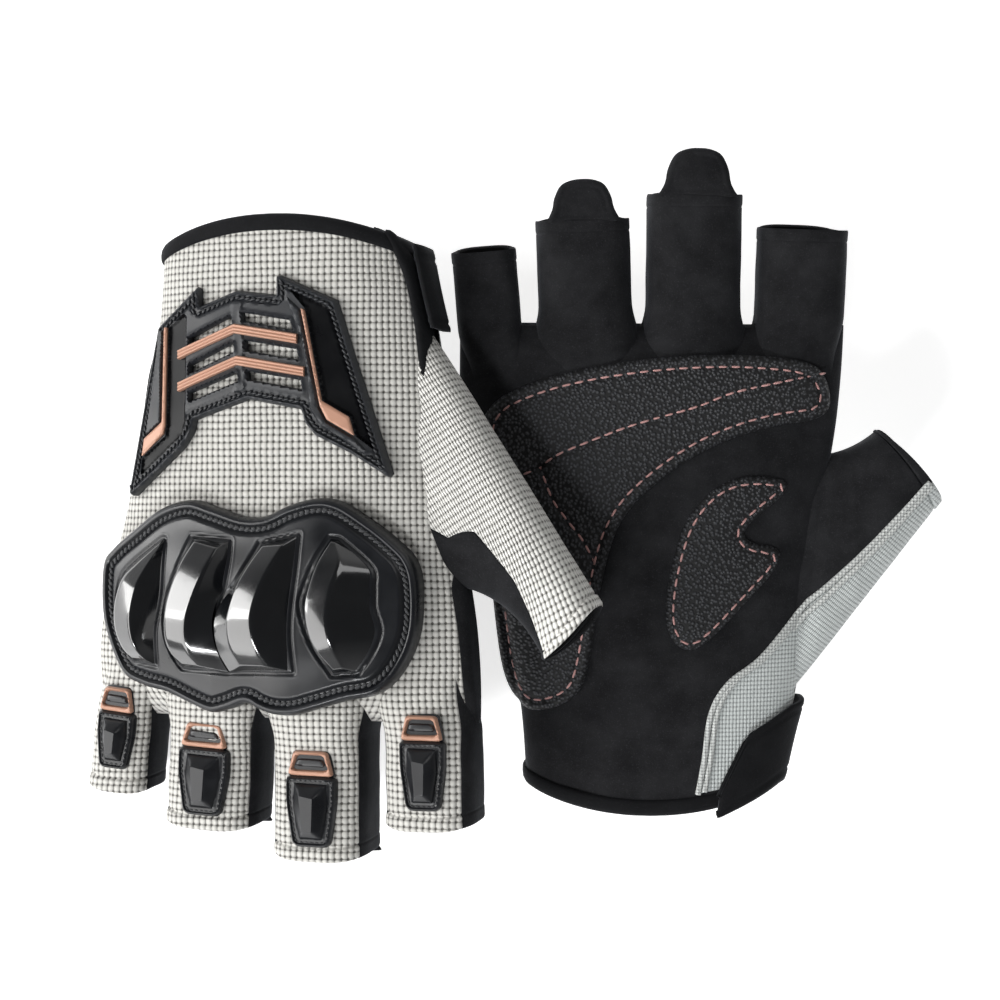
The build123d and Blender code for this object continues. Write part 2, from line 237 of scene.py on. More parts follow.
def normals_of(p, centre):
    """Unit normals of a grid of points, turned away from the centre of each row."""
    along = np.gradient(p, axis=0)
    across = np.gradient(p, axis=1)
    n = np.cross(across, along)
    n /= np.maximum(np.linalg.norm(n, axis=2), 1e-9)[..., None]
    outward = np.sum(n * (p - centre[:, None, :]), axis=(1, 2))
    return n * np.where(np.sum(outward) < 0, -1, 1)


def cloth(p, centre, flat, thickness=FABRIC, outer=0, inner=1):
    """A panel of cloth with a thickness: outer face, lining, and its four edges."""
    rows, cols = p.shape[:2]
    n = normals_of(p, centre)
    soup = Soup()
    flip = np.sum(np.cross(p[0, 1] - p[0, 0], p[1, 0] - p[0, 0]) * n[0, 0]) < 0
    inside = p - n * thickness
    soup.add(p, grid(rows, cols, flip=flip), outer, flat)
    soup.add(inside, grid(rows, cols, flip=not flip), inner, flat)
    shift = rows * cols
    edge = [(0, j) for j in range(cols)] + [(i, cols - 1) for i in range(1, rows)]
    edge += [(rows - 1, j) for j in range(cols - 2, -1, -1)] + [(i, 0) for i in range(rows - 2, 0, -1)]
    ring = [i * cols + j for i, j in edge]
    for a, b in zip(ring, ring[1:] + ring[:1]):
        face = (b, a, a + shift, b + shift)
        soup.faces.append(face[::-1] if flip else face)
        soup.slots.append(inner)
    return soup


def relief(outline, height, floor, spacing=0.6, holes=(), creases=(), slot_at=None):
    """Moulded plate: a fine surface of height(points) over an outline, with walls
    down to a floor, which is a height or a function too."""
    outline = resample(outline, spacing)
    loops = [outline] + [resample(hole, spacing) for hole in holes]
    verts = [tuple(q) for loop in loops for q in loop]
    edges, start = [], 0
    for loop in loops:
        edges += [(start + i, start + (i + 1) % len(loop)) for i in range(len(loop))]
        start += len(loop)
    for crease, closed in creases:
        line = resample(crease, spacing, closed)
        last = len(line) if closed else len(line) - 1
        edges += [(start + i, start + (i + 1) % len(line)) for i in range(last)]
        verts += [tuple(q) for q in line]
        start += len(line)
    low, high = outline.min(0), outline.max(0)
    xs = np.arange(low[0], high[0], spacing)
    ys = np.arange(low[1], high[1], spacing * 0.87)
    gx, gy = np.meshgrid(xs, ys)
    gx = gx + (np.arange(len(ys)) % 2)[:, None] * spacing / 2
    cloud = np.stack([gx.ravel(), gy.ravel()], 1)
    keep = depth(cloud, outline) > 0.45 * spacing
    for hole in holes:
        keep &= depth(cloud, hole) < -0.45 * spacing
    fixed = np.array(verts)
    cloud = cloud[keep]
    for chunk in np.array_split(np.arange(len(cloud)), max(1, len(cloud) // 2000)):
        near = np.min(np.linalg.norm(cloud[chunk][:, None] - fixed[None], axis=2), axis=1)
        keep_chunk = near > 0.45 * spacing
        verts += [tuple(q) for q in cloud[chunk][keep_chunk]]
    out = delaunay_2d_cdt([Vector(q) for q in verts], edges, [], 0, 1e-5)
    flat = np.array([tuple(q) for q in out[0]])
    faces = np.array([list(f) for f in out[2] if len(f) == 3])
    middle = flat[faces].mean(1)
    good = depth(middle, outline) > 0
    for hole in holes:
        good &= depth(middle, hole) < 0
    faces = faces[good]
    a, b, c = flat[faces[:, 0]], flat[faces[:, 1]], flat[faces[:, 2]]
    area = (b[:, 0] - a[:, 0]) * (c[:, 1] - a[:, 1]) - (b[:, 1] - a[:, 1]) * (c[:, 0] - a[:, 0])
    faces = np.where((area < 0)[:, None], faces[:, ::-1], faces)[np.abs(area) > 1e-9]
    top = np.column_stack([flat, height(flat)])
    slots = np.zeros(len(faces), int) if slot_at is None else slot_at(flat[faces].mean(1))
    soup = Soup().add(top, faces, list(slots), flat)
    used = dict.fromkeys((int(face[i]), int(face[(i + 1) % 3])) for face in faces for i in range(3))
    border = [(s, e) for s, e in used if (e, s) not in used]
    base = np.column_stack([flat, floor(flat) if callable(floor) else np.full(len(flat), floor)])
    away = flat - flat.mean(0)
    away /= np.maximum(np.linalg.norm(away, axis=1), 1e-9)[:, None]
    count = soup.count
    soup.add(base, [], 0, flat + away * np.abs(top[:, 2:] - base[:, 2:]))
    for s, e in border:
        soup.faces.append((e, s, s + count, e + count))
        soup.slots.append(0)
    return soup


def tube(path, radius, sides=8):
    """Round strand along a line of points, closed at both ends."""
    p = np.asarray(path, float)
    along = np.gradient(p, axis=0)
    along /= np.maximum(np.linalg.norm(along, axis=1), 1e-9)[:, None]
    side = np.cross(along, np.array([0, 0, 1.0]))
    side /= np.maximum(np.linalg.norm(side, axis=1), 1e-9)[:, None]
    rise = np.cross(side, along)
    radius = np.broadcast_to(np.asarray(radius, float), (len(p),))[:, None, None]
    turn = np.linspace(0, 2 * np.pi, sides, endpoint=False)[None, :, None]
    ring = p[:, None] + radius * (np.cos(turn) * side[:, None] + np.sin(turn) * rise[:, None])
    last = (len(p) - 1) * sides
    faces = grid(len(p), sides, closed=True)
    faces += [tuple(range(sides))[::-1], tuple(last + j for j in range(sides))]
    return ring.reshape(-1, 3), faces


def stitches(path, pitch, length, radius, turn=0.0, closed=True, sink=0.35):
    """Row of short threads along a line of 3-D points, each turned by an angle about its normal."""
    line = resample(path, pitch, closed)
    ahead = np.roll(line, -1, 0) - np.roll(line, 1, 0) if closed else np.gradient(line, axis=0)
    soup = Soup()
    for centre, direction in zip(line, ahead):
        direction = direction / max(np.linalg.norm(direction), 1e-9)
        side = np.cross([0, 0, 1.0], direction)
        side /= max(np.linalg.norm(side), 1e-9)
        way = math.cos(turn) * direction + math.sin(turn) * side
        t = np.linspace(-0.5, 0.5, 7)
        points = centre + t[:, None] * length * way
        points[:, 2] -= sink * radius * (2 * t) ** 4 * 2
        radii = radius * np.sqrt(np.clip(1.02 - (2 * t) ** 4, 0.05, 1))
        soup.add(*tube(points, radii, sides=6))
    return soup


# ---------------------------------------------------------------- procedural materials
class Shader:
    """A procedural material made node by node."""

    def __init__(self, name, colour=(0.5, 0.5, 0.5), rough=0.6, **fixed):
        self.mat = bpy.data.materials.new(name)
        self.mat.use_nodes = True
        self.mat.diffuse_color = (*colour, 1)
        self.tree = self.mat.node_tree
        self.out = self.tree.nodes["Principled BSDF"]
        self.put("Base Color", (*colour, 1))
        self.put("Roughness", rough)
        for key, value in fixed.items():
            self.put(key.replace("_", " "), value)
        self.cloth = self.node("UVMap", uv_map="cloth")

    def put(self, name, value):
        if isinstance(value, bpy.types.NodeSocket):
            self.tree.links.new(value, self.out.inputs[name])
        else:
            self.out.inputs[name].default_value = value

    def node(self, kind, inputs=(), output=0, **settings):
        made = self.tree.nodes.new("ShaderNode" + kind)
        for key, value in settings.items():
            setattr(made, key, value)
        for key, value in dict(inputs).items():
            if isinstance(value, bpy.types.NodeSocket):
                self.tree.links.new(value, made.inputs[key])
            else:
                made.inputs[key].default_value = value
        return made.outputs[output]

    def math(self, operation, *values):
        return self.node("Math", dict(enumerate(values)), operation=operation)

    def place(self):
        """Object coordinates, in millimetres."""
        return self.node("Mapping", {"Vector": self.node("TexCoord", output="Object"),
                                     "Scale": (1 / MM, 1 / MM, 1 / MM)})

    def noise(self, vector, scale, detail=3.0, rough=0.55):
        return self.node("TexNoise", {"Vector": vector, "Scale": scale, "Detail": detail,
                                      "Roughness": rough})

    def ramp(self, factor, *stops):
        made = self.tree.nodes.new("ShaderNodeValToRGB")
        self.tree.links.new(factor, made.inputs[0])
        band = made.color_ramp
        while len(band.elements) < len(stops):
            band.elements.new(0.5)
        for element, (place, colour) in zip(band.elements, stops):
            element.position = place
            element.color = (*colour, 1)
        return made.outputs[0]

    def mix(self, factor, a, b):
        a, b = ((*c, 1) if isinstance(c, tuple) else c for c in (a, b))
        return self.node("Mix", {0: factor, 6: a, 7: b}, 2, data_type="RGBA")

    def bump(self, *layers):
        """Layers of (height, strength, distance in millimetres), the finest last."""
        normal = None
        for height, strength, distance in layers:
            inputs = {"Height": height, "Strength": strength, "Distance": distance * MM}
            if normal is not None:
                inputs["Normal"] = normal
            normal = self.node("Bump", inputs)
        self.put("Normal", normal)


def grey(value):
    return (value, value, value)


def weave_material(name, pitch, light, line, gap, depth_mm=0.45):
    """Coarse bead-like weave: pale threads with dark gaps where four beads meet. The threads are painted
    darker towards their edges, as painted shade between the beads.
    """
    s = Shader(name, light, 0.75, Sheen_Weight=0.25, Sheen_Roughness=0.5)
    uv = s.cloth
    u, v = (s.math("ADD", s.math("DIVIDE", s.node("SeparateXYZ", {0: uv}, k), pitch[k]),
                   s.math("MULTIPLY", s.noise(uv, drift, 2.0), 0.35)) for k, drift in ((0, 0.09), (1, 0.07)))
    wave_u, wave_v = (s.math("ABSOLUTE", s.math("SINE", s.math("MULTIPLY", way, math.pi)))
                      for way in (u, v))
    bead = s.math("MULTIPLY", s.math("POWER", wave_u, 0.55), s.math("POWER", wave_v, 0.55))
    corner = s.math("MULTIPLY", s.math("SUBTRACT", 1.0, wave_u), s.math("SUBTRACT", 1.0, wave_v))
    cell = s.node("TexWhiteNoise", {"Vector": s.node("CombineXYZ", {
        0: s.math("FLOOR", u), 1: s.math("FLOOR", v)})}, noise_dimensions="2D")
    fibre = s.noise(uv, 3.2, 3.0)
    # painted shade: the colour falls from light to the line colour towards each bead's edge, where the weave
    # dips
    base = s.ramp(bead, (0.12, line), (0.55, tuple(0.5 * (a + b) for a, b in zip(line, light))),
                  (0.9, light))
    tint = s.mix(s.math("MULTIPLY", cell, 0.16), base, tuple(0.6 * c for c in light))
    tint = s.mix(s.math("MULTIPLY", fibre, 0.22), tint, tuple(0.55 * c for c in light))
    hole = s.ramp(corner, (0.2, grey(0.0)), (0.42, grey(1.0)))
    s.put("Base Color", s.mix(hole, tint, gap))
    s.put("Roughness", s.ramp(fibre, (0.2, grey(0.62)), (0.9, grey(0.9))))
    deep = s.math("SUBTRACT", bead, s.math("MULTIPLY", corner, 0.9))
    s.bump((deep, 0.85, depth_mm), (fibre, 0.35, 0.12))
    return s.mat


def suede_material(name, dark, pale, scale=1.0, sheen=0.35):
    """Brushed microfibre: short nap with soft cloudy patches."""
    s = Shader(name, dark, 0.85, Sheen_Weight=sheen, Sheen_Roughness=0.45,
               Sheen_Tint=(0.75, 0.8, 0.9, 1))
    s.put("Specular IOR Level", 0.15)
    at = s.place()
    cloud = s.noise(at, 0.09 * scale, 5.0, 0.65)
    nap = s.noise(at, 2.4 * scale, 4.0, 0.7)
    speck = s.ramp(nap, (0.56, grey(0.0)), (0.78, grey(1.0)))
    colour = s.mix(s.ramp(cloud, (0.35, grey(0.0)), (0.7, grey(0.7))), dark, pale)
    s.put("Base Color", s.mix(s.math("MULTIPLY", speck, 0.55), colour, tuple(2.4 * c for c in pale)))
    s.bump((cloud, 0.25, 1.2), (nap, 0.5, 0.16))
    return s.mat


def rubber_material(name, dark, pale, rough, grain=1.0, shine=0.5):
    """Moulded rubber or soft plastic with a faint grain, paler on sharp convex edges."""
    s = Shader(name, dark, rough, Specular_IOR_Level=shine)
    at = s.place()
    cloud = s.noise(at, 0.12, 3.0)
    fine = s.noise(at, 3.0, 2.0)
    # paler on sharp convex edges, read from the surface's pointiness
    edge = s.ramp(s.node("NewGeometry", output=7), (0.5, grey(0.0)), (0.62, grey(1.0)))
    colour = s.mix(s.ramp(cloud, (0.35, grey(0.0)), (0.75, grey(1.0))), dark, pale)
    s.put("Base Color", s.mix(s.math("MULTIPLY", edge, 0.5), colour, tuple(1.8 * c for c in pale)))
    s.put("Roughness", s.ramp(cloud, (0.3, grey(rough - 0.05)), (0.8, grey(rough + 0.1))))
    s.bump((fine, 0.25 * grain, 0.08))
    return s.mat


def gloss_material(name, colour, rough):
    """Polished hard plastic with a faint haze and fine rub marks."""
    s = Shader(name, colour, rough, Coat_Weight=1.0, Coat_Roughness=0.05, Specular_IOR_Level=0.9)
    at = s.place()
    haze = s.noise(at, 0.15, 3.0)
    s.put("Roughness", s.ramp(haze, (0.3, grey(rough)), (0.8, grey(rough + 0.1))))
    s.put("Base Color", s.mix(haze, colour, tuple(1.6 * c for c in colour)))
    s.bump((s.noise(at, 0.25, 2.0), 0.05, 0.4))
    return s.mat


def leather_material(name):
    """Pebble-grain synthetic leather, the crevices between its pebbles painted near black as painted shade.
    """
    s = Shader(name, grey(0.02), 0.5)
    at = s.place()
    pebble = s.node("TexVoronoi", {"Vector": s.cloth, "Scale": 1.0, "Randomness": 1.0}, output=0,
                    voronoi_dimensions="2D")
    top = s.ramp(pebble, (0.12, grey(1.0)), (0.52, grey(0.0)))
    fine = s.noise(at, 3.5, 3.0)
    # painted shade: near black in the crevices between pebbles, paler on the pebble tops
    s.put("Base Color", s.mix(top, (0.004, 0.0042, 0.005), (0.045, 0.047, 0.053)))
    s.put("Roughness", s.ramp(top, (0.2, grey(0.72)), (0.9, grey(0.48))))
    s.put("Specular IOR Level", 0.45)
    s.bump((top, 0.9, 0.4), (fine, 0.3, 0.08))
    return s.mat


def thread_material(name, colour):
    s = Shader(name, colour, 0.6, Sheen_Weight=0.3)
    at = s.place()
    twist = s.node("TexWave", {"Vector": at, "Scale": 1.6, "Distortion": 1.5}, output=1)
    s.put("Base Color", s.mix(twist, tuple(0.7 * c for c in colour), colour))
    s.bump((twist, 0.5, 0.12))
    return s.mat


def copper_material(name):
    """Matte copper-coloured moulding."""
    s = Shader(name, (0.36, 0.19, 0.125), 0.45, Metallic=0.1)
    at = s.place()
    cloud = s.noise(at, 0.2, 3.0)
    s.put("Base Color", s.mix(cloud, (0.4, 0.215, 0.145), (0.5, 0.27, 0.185)))
    s.put("Roughness", s.ramp(cloud, (0.3, grey(0.38)), (0.8, grey(0.5))))
    s.bump((s.noise(at, 4.0, 2.0), 0.2, 0.05))
    return s.mat


def tape_material(name):
    """Hook and loop tape: a dense pile."""
    s = Shader(name, grey(0.02), 0.9, Sheen_Weight=0.4)
    at = s.place()
    pile = s.node("TexVoronoi", {"Vector": at, "Scale": 1.6}, output=0)
    s.put("Base Color", s.mix(pile, grey(0.02), grey(0.008)))
    s.bump((pile, 0.9, 0.4))
    return s.mat


BEAD = (1.62, 1.72)
MESH = weave_material("grey_mesh", BEAD, (0.62, 0.61, 0.575), (0.42, 0.41, 0.38), (0.10, 0.095, 0.085))
# Paler copy of the grey mesh for the upper glove's thumb: painted light, standing in for the light that the
# hand's body keeps off the thumb.
MESH_THUMB_PAINTED_LIGHT = weave_material("grey_mesh_thumb_painted_light", BEAD, (0.86, 0.85, 0.81), (0.6, 0.59, 0.55),
                            (0.16, 0.155, 0.14))
SIDE = weave_material("grey_rib", (0.9, 1.1), (0.68, 0.72, 0.71), (0.47, 0.5, 0.495), (0.3, 0.32, 0.32),
                      depth_mm=0.2)
BLACK = suede_material("black_microfibre", (0.006, 0.0061, 0.007), (0.023, 0.0233, 0.0255), sheen=0.1)
LINING = suede_material("lining", (0.004, 0.004, 0.0045), (0.008, 0.008, 0.009), sheen=0.05)
FELT = suede_material("binding_felt", (0.004, 0.0042, 0.005), (0.01, 0.0103, 0.0115), 0.8, 0.06)
HARD = rubber_material("satin_shell", (0.0045, 0.005, 0.0065), (0.0085, 0.0095, 0.012), 0.3, 0.4)
BLOCK = rubber_material("plate_block", (0.0055, 0.006, 0.0075), (0.01, 0.011, 0.0135), 0.3, 0.3)
GLOSS = gloss_material("gloss_boss", (0.003, 0.0034, 0.0042), 0.1)
RUBBER = rubber_material("trim_rubber", (0.008, 0.009, 0.0115), (0.015, 0.017, 0.021), 0.45)
RECESS = rubber_material("smooth_recess", (0.003, 0.0032, 0.004), (0.005, 0.0053, 0.006), 0.3, 0.1, 0.14)
COPPER = copper_material("accent_copper")
LEATHER = leather_material("patch_leather")
PINK = thread_material("pink_thread", (0.62, 0.33, 0.31))
DARK_THREAD = thread_material("dark_thread", (0.028, 0.03, 0.034))
CORD = weave_material("grey_cord", (0.8, 0.8), (0.66, 0.68, 0.66), (0.45, 0.47, 0.46), (0.3, 0.31, 0.31),
                      depth_mm=0.15)
TAPE = tape_material("hook_loop_tape")
FOAM = rubber_material("foam", grey(0.05), grey(0.07), 0.85)


# ---------------------------------------------------------------- the gloves' places
class Glove:
    def __init__(self, prefix):
        self.prefix = prefix
        z = np.array(JOINTS[prefix + "_thumb_swing"]["axis"], float)
        y = np.array(JOINTS[prefix + "_strap_peel"]["axis"], float)
        z /= np.linalg.norm(z)
        y /= np.linalg.norm(y)
        self.turn = np.column_stack([np.cross(y, z), y, z])
        pivot = np.array(JOINTS[prefix + "_thumb_swing"]["pos_m"], float)
        self.origin = pivot - self.turn @ (np.array([*THUMB_PIVOT, 0]) * MM)

    def place(self, points, anchor=None):
        """Hand frame to world. The upper glove's cloth stands a little proud at its sides,
        and a rigid piece, given by the x of its middle, is carried along unchanged."""
        points = np.array(points, float)
        if self.prefix == "upper":
            points[..., 0] += PROUD * (points[..., 0] if anchor is None else anchor)
        return points @ self.turn.T * MM + self.origin

    def piece(self, name, soup, materials, body, slot, replaces=(), blend=None, sharp=None,
              anchor=None):
        """One Blender piece from a soup in the hand frame, riding on a body, or, when blend is given, baked
        in place and riding on none. Edges keep their corner from the angle sharp up."""
        mesh = bpy.data.meshes.new(f"{self.prefix}_{name}")
        mesh.from_pydata(self.place(np.vstack(soup.points), anchor).tolist(), [], soup.faces)
        mesh.validate()
        layer = mesh.uv_layers.new(name="cloth")
        flat = np.vstack(soup.flat)
        corner = np.zeros(len(mesh.loops), np.int32)
        mesh.loops.foreach_get("vertex_index", corner)
        layer.data.foreach_set("uv", flat[corner].astype(np.float32).ravel())
        for material in materials:
            mesh.materials.append(material)
        if len(materials) > 1:
            mesh.polygons.foreach_set("material_index", np.array(soup.slots, np.int32))
        mesh.shade_smooth()
        if sharp:
            mesh.set_sharp_from_angle(angle=math.radians(sharp))
        piece = bpy.data.objects.new(f"{self.prefix}_{name}", mesh)
        bpy.context.scene.collection.objects.link(piece)
        nodes = [f"{self.prefix}_{node}" for node in replaces]
        if nodes:
            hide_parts(*nodes)
        if blend is None:
            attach(piece, f"{self.prefix}_{body}")
        else:
            start, end = (self.place(np.array(p, float)) for p in blend)
            tuple(start)
            tuple(end)
            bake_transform(piece)
        return piece


GLOVES = [Glove("lower"), Glove("upper")]


# ---------------------------------------------------------------- the hand
def side_x(y, table):
    """Smooth x of the hand's edge at y."""
    y = np.asarray(y, float)
    knots = np.array(STATION_Y, float)
    values = np.array(table, float)
    slope = np.gradient(values, knots)
    i = np.clip(np.searchsorted(knots, y) - 1, 0, len(knots) - 2)
    h = knots[i + 1] - knots[i]
    t = np.clip((y - knots[i]) / h, 0, 1)
    return ((2 * t ** 3 - 3 * t ** 2 + 1) * values[i] + (t ** 3 - 2 * t ** 2 + t) * h * slope[i]
            + (3 * t ** 2 - 2 * t ** 3) * values[i + 1] + (t ** 3 - t ** 2) * h * slope[i + 1])


def hand_power(y):
    """Roundness of the hand's side edges: squarer towards the fingers."""
    return 3.4 + 2.2 * step(84, 112, y)


HAND_CLOSE = (110.0, 127.0)


def hand_surface(turn, v, out=0.0):
    """Point on the hand: turn 0 at the little finger's edge, a quarter at the back's middle."""
    turn, v, out = np.broadcast_arrays(np.asarray(turn, float), v, out)
    c, s, power = np.cos(turn), np.sin(turn), hand_power(v)
    x_thumb, x_little = side_x(v, THUMB_SIDE), side_x(v, LITTLE_SIDE)
    middle, half = (x_thumb + x_little) / 2, (x_little - x_thumb) / 2
    closing = np.sqrt(np.clip(1 - np.clip((v - HAND_CLOSE[0]) / (HAND_CLOSE[1] - HAND_CLOSE[0]), 0, 1) ** 2,
                              0.02, 1))
    x = middle + (half + out) * np.sign(c) * np.abs(c) ** (2 / power)
    arch = np.where(s >= 0, back_z(x), palm_z(x))
    z = (arch * closing + np.sign(s) * out) * np.abs(s) ** (2 / power)
    rim = RIM_RADIUS - np.sqrt(RIM_RADIUS ** 2 - np.clip(x, -60, 60) ** 2)
    y = v + rim * (1 - step(0, 45, v))
    return np.stack([x, y, z], -1)


def arc_flat(p, start):
    """Cloth coordinates of a grid of points: distance across from column start, and y along."""
    across = np.linalg.norm(np.diff(p, axis=1), axis=2)
    run = np.concatenate([np.zeros((len(p), 1)), np.cumsum(across, axis=1)], axis=1)
    run = run - run[:, start:start + 1]
    return np.stack([run, p[..., 1]], -1)


BACK_SEAM = 0.16
HAND_ROWS = np.concatenate([np.arange(0.2, 108, 1.6), np.arange(108.5, 127.2, 1.1)])


def hand_panels():
    """The grey back and the black palm of the hand."""
    v = HAND_ROWS[:, None]
    panels = []
    thumb_seam = math.pi - BACK_SEAM - 0.34 * step(80, 94, v)
    for low, high, count in ((BACK_SEAM + 0 * v, thumb_seam, 96),
                             (thumb_seam, 2 * math.pi + BACK_SEAM + 0 * v, 112)):
        turn = low + np.linspace(0, 1, count)[None, :] * (high - low)
        p = hand_surface(turn, v)
        p[..., 2] += wobble(p, 0.18) * np.sign(p[..., 2])
        middle = hand_surface(np.full((1, 2), 0.5 * math.pi), v)[:, 0]
        centre = np.column_stack([(p[:, 0, 0] + p[:, -1, 0]) / 2, middle[:, 1], 0 * middle[:, 0]])
        drop = np.abs(np.where(p[..., 2] > 0, back_z(p[..., 0]), palm_z(p[..., 0])) - p[..., 2])
        flat = np.stack([p[..., 0] + 0.8 * np.sign(p[..., 0]) * drop, p[..., 1]], -1)
        panels.append(cloth(p, centre, flat))
    return panels


def cuff_band():
    """Felt binding folded over the rim all the way round, and the strip up the vent."""
    turn = np.linspace(0, 2 * math.pi, 200, endpoint=False)
    profile = [(4.0, 0.05), (3.9, 0.5), (3.0, 0.85), (2.0, 0.95), (0.9, 0.9), (0.1, 0.45), (-0.25, -0.4),
               (0.0, -1.3), (0.8, -1.75), (2.2, -1.8), (3.8, -1.6)]
    rows = np.array([hand_surface(turn, along, out) for along, out in profile])
    flat = np.stack([np.broadcast_to(turn * 22, rows.shape[:2]), np.broadcast_to(
        np.array([a for a, _ in profile])[:, None], rows.shape[:2])], -1)
    soup = Soup().add(rows, grid(len(profile), len(turn), closed=True), 0, flat)
    vent = [(-30, 4), (-35, 12), (-37.6, 24), (-38.8, 36), (-39.8, 48), (-40.4, 64), (-38.6, 64), (-37.4, 48),
            (-36.1, 36), (-34.6, 24), (-32, 13), (-27.6, 4.5)]
    outline = chaikin(vent, 2)
    soup.join(relief(outline, lambda q: skin_top(q) + 1.15 * rounded(depth(q, outline), 1.2),
                     lambda q: skin_top(q) - 0.5, 0.9))
    return soup


def skin(q, arch):
    """Height of the hand's fabric at plan points, under the arch of the back or of the palm."""
    x, y = q[:, 0], q[:, 1]
    a, b = side_x(y, THUMB_SIDE), side_x(y, LITTLE_SIDE)
    s = np.clip(np.abs((x - (a + b) / 2) / ((b - a) / 2)), 0, 0.999)
    power = hand_power(y)
    return arch(x) * (1 - s ** power) ** (1 / power)


def skin_top(q):
    return skin(q, back_z)


def skin_low(q):
    return skin(q, palm_z)


# ---------------------------------------------------------------- fingers
FINGER_POWER = 3.2
SEAM_DROP = 3.4


def finger_surface(name, turn, t, out=0.0):
    """Point on a stall: turn as round the hand, t in millimetres from the web to the mouth."""
    x_mid, width, height, z_low, y_web, _, splay = FINGERS[name]
    turn, t, out = np.broadcast_arrays(np.asarray(turn, float), t, out)
    c, s = np.cos(turn), np.sin(turn)
    free = step(-6, 5, t)
    lean = math.radians(splay)
    outer_side = {"index": -1, "little": 1}.get(name, 0)
    grow = np.where(np.sign(c) == outer_side, -1.6, 2.1) * (1 - free)
    across = (width / 2 + grow + out) * np.sign(c) * np.abs(c) ** (2 / FINGER_POWER)
    x_root = x_mid + across + t * math.sin(lean)
    settle = step(-4, 12, t)
    top = (back_z(x_root) - 0.35) * (1 - settle) + (z_low + height) * settle
    low = (palm_z(x_root) + 0.35) * (1 - settle) + z_low * settle
    middle = (top + low) / 2
    z = middle + ((top - low) / 2 + out) * np.sign(s) * np.abs(s) ** (2 / FINGER_POWER)
    x = x_mid + across * math.cos(lean) + t * math.sin(lean)
    y = y_web + t * math.cos(lean) - across * math.sin(lean)
    plan = np.stack([x.ravel(), y.ravel()], 1)
    rise = 16 * step(-9, 8, t)
    z = np.minimum(z, skin_top(plan).reshape(z.shape) - 0.3 + rise)
    z = np.maximum(z, skin_low(plan).reshape(z.shape) + 0.3 - rise)
    return np.stack([x, y, z], -1)


def finger_rows(name):
    length = FINGERS[name][5] - FINGERS[name][4] - 0.2
    return np.concatenate([np.arange(-15, length - 5.0, 1.3), np.linspace(length - 5.0, length, 22)]), length


def hem_shape(t, length):
    """Stitched hem near a mouth: a turned-in edge and a groove behind it."""
    e = length - t
    return (0.3 * step(3.4, 2.6, e) - 0.5 * bell(e - 3.4, 0.28)
            - 0.45 * step(0.5, 0.0, e))


def finger_panels(name):
    """Grey back strip, and black sides and front, of one stall."""
    height = FINGERS[name][2]
    seam = math.asin(((height / 2 - SEAM_DROP) / (height / 2)) ** (FINGER_POWER / 2))
    t, length = finger_rows(name)
    panels = []
    inner = math.pi - seam - (0.3 if name == "index" else 0)
    for low, high, count in ((seam, inner, 34), (inner, 2 * math.pi + seam, 64)):
        turn = np.linspace(low, high, count)[None, :]
        rows = t[:, None]
        hem = 1.0 if count == 34 else 0.25
        out = hem * hem_shape(rows, length) + 0 * turn
        p = finger_surface(name, turn, rows, out)
        p += wobble(p, 0.16, 1.7)[..., None] * np.array([0.3, 0, 1]) * step(-2, 6, rows)[..., None]
        arch = 1 - np.linspace(-1, 1, count)[None, :] ** 2
        bow = (1.0 if count == 34 else -1.5) * step(length - 9, length, rows) * arch
        p[..., 1] += bow
        centre = finger_surface(name, np.array([[0.0, math.pi]]), rows).mean(1)
        panels.append(cloth(p, centre, arc_flat(p, count // 2)))
    return panels


def finger_top(name):
    """Change from a stall's own plan, x across and y along from the web, to the hand frame."""
    x_mid, _, height, z_low, y_web, _, splay = FINGERS[name]
    lean = math.radians(splay)

    def to_hand(p):
        x, y, z = p[:, 0], p[:, 1], p[:, 2]
        return np.stack([x_mid + x * math.cos(lean) + y * math.sin(lean),
                         y_web + y * math.cos(lean) - x * math.sin(lean), z_low + height + z], 1)
    return to_hand


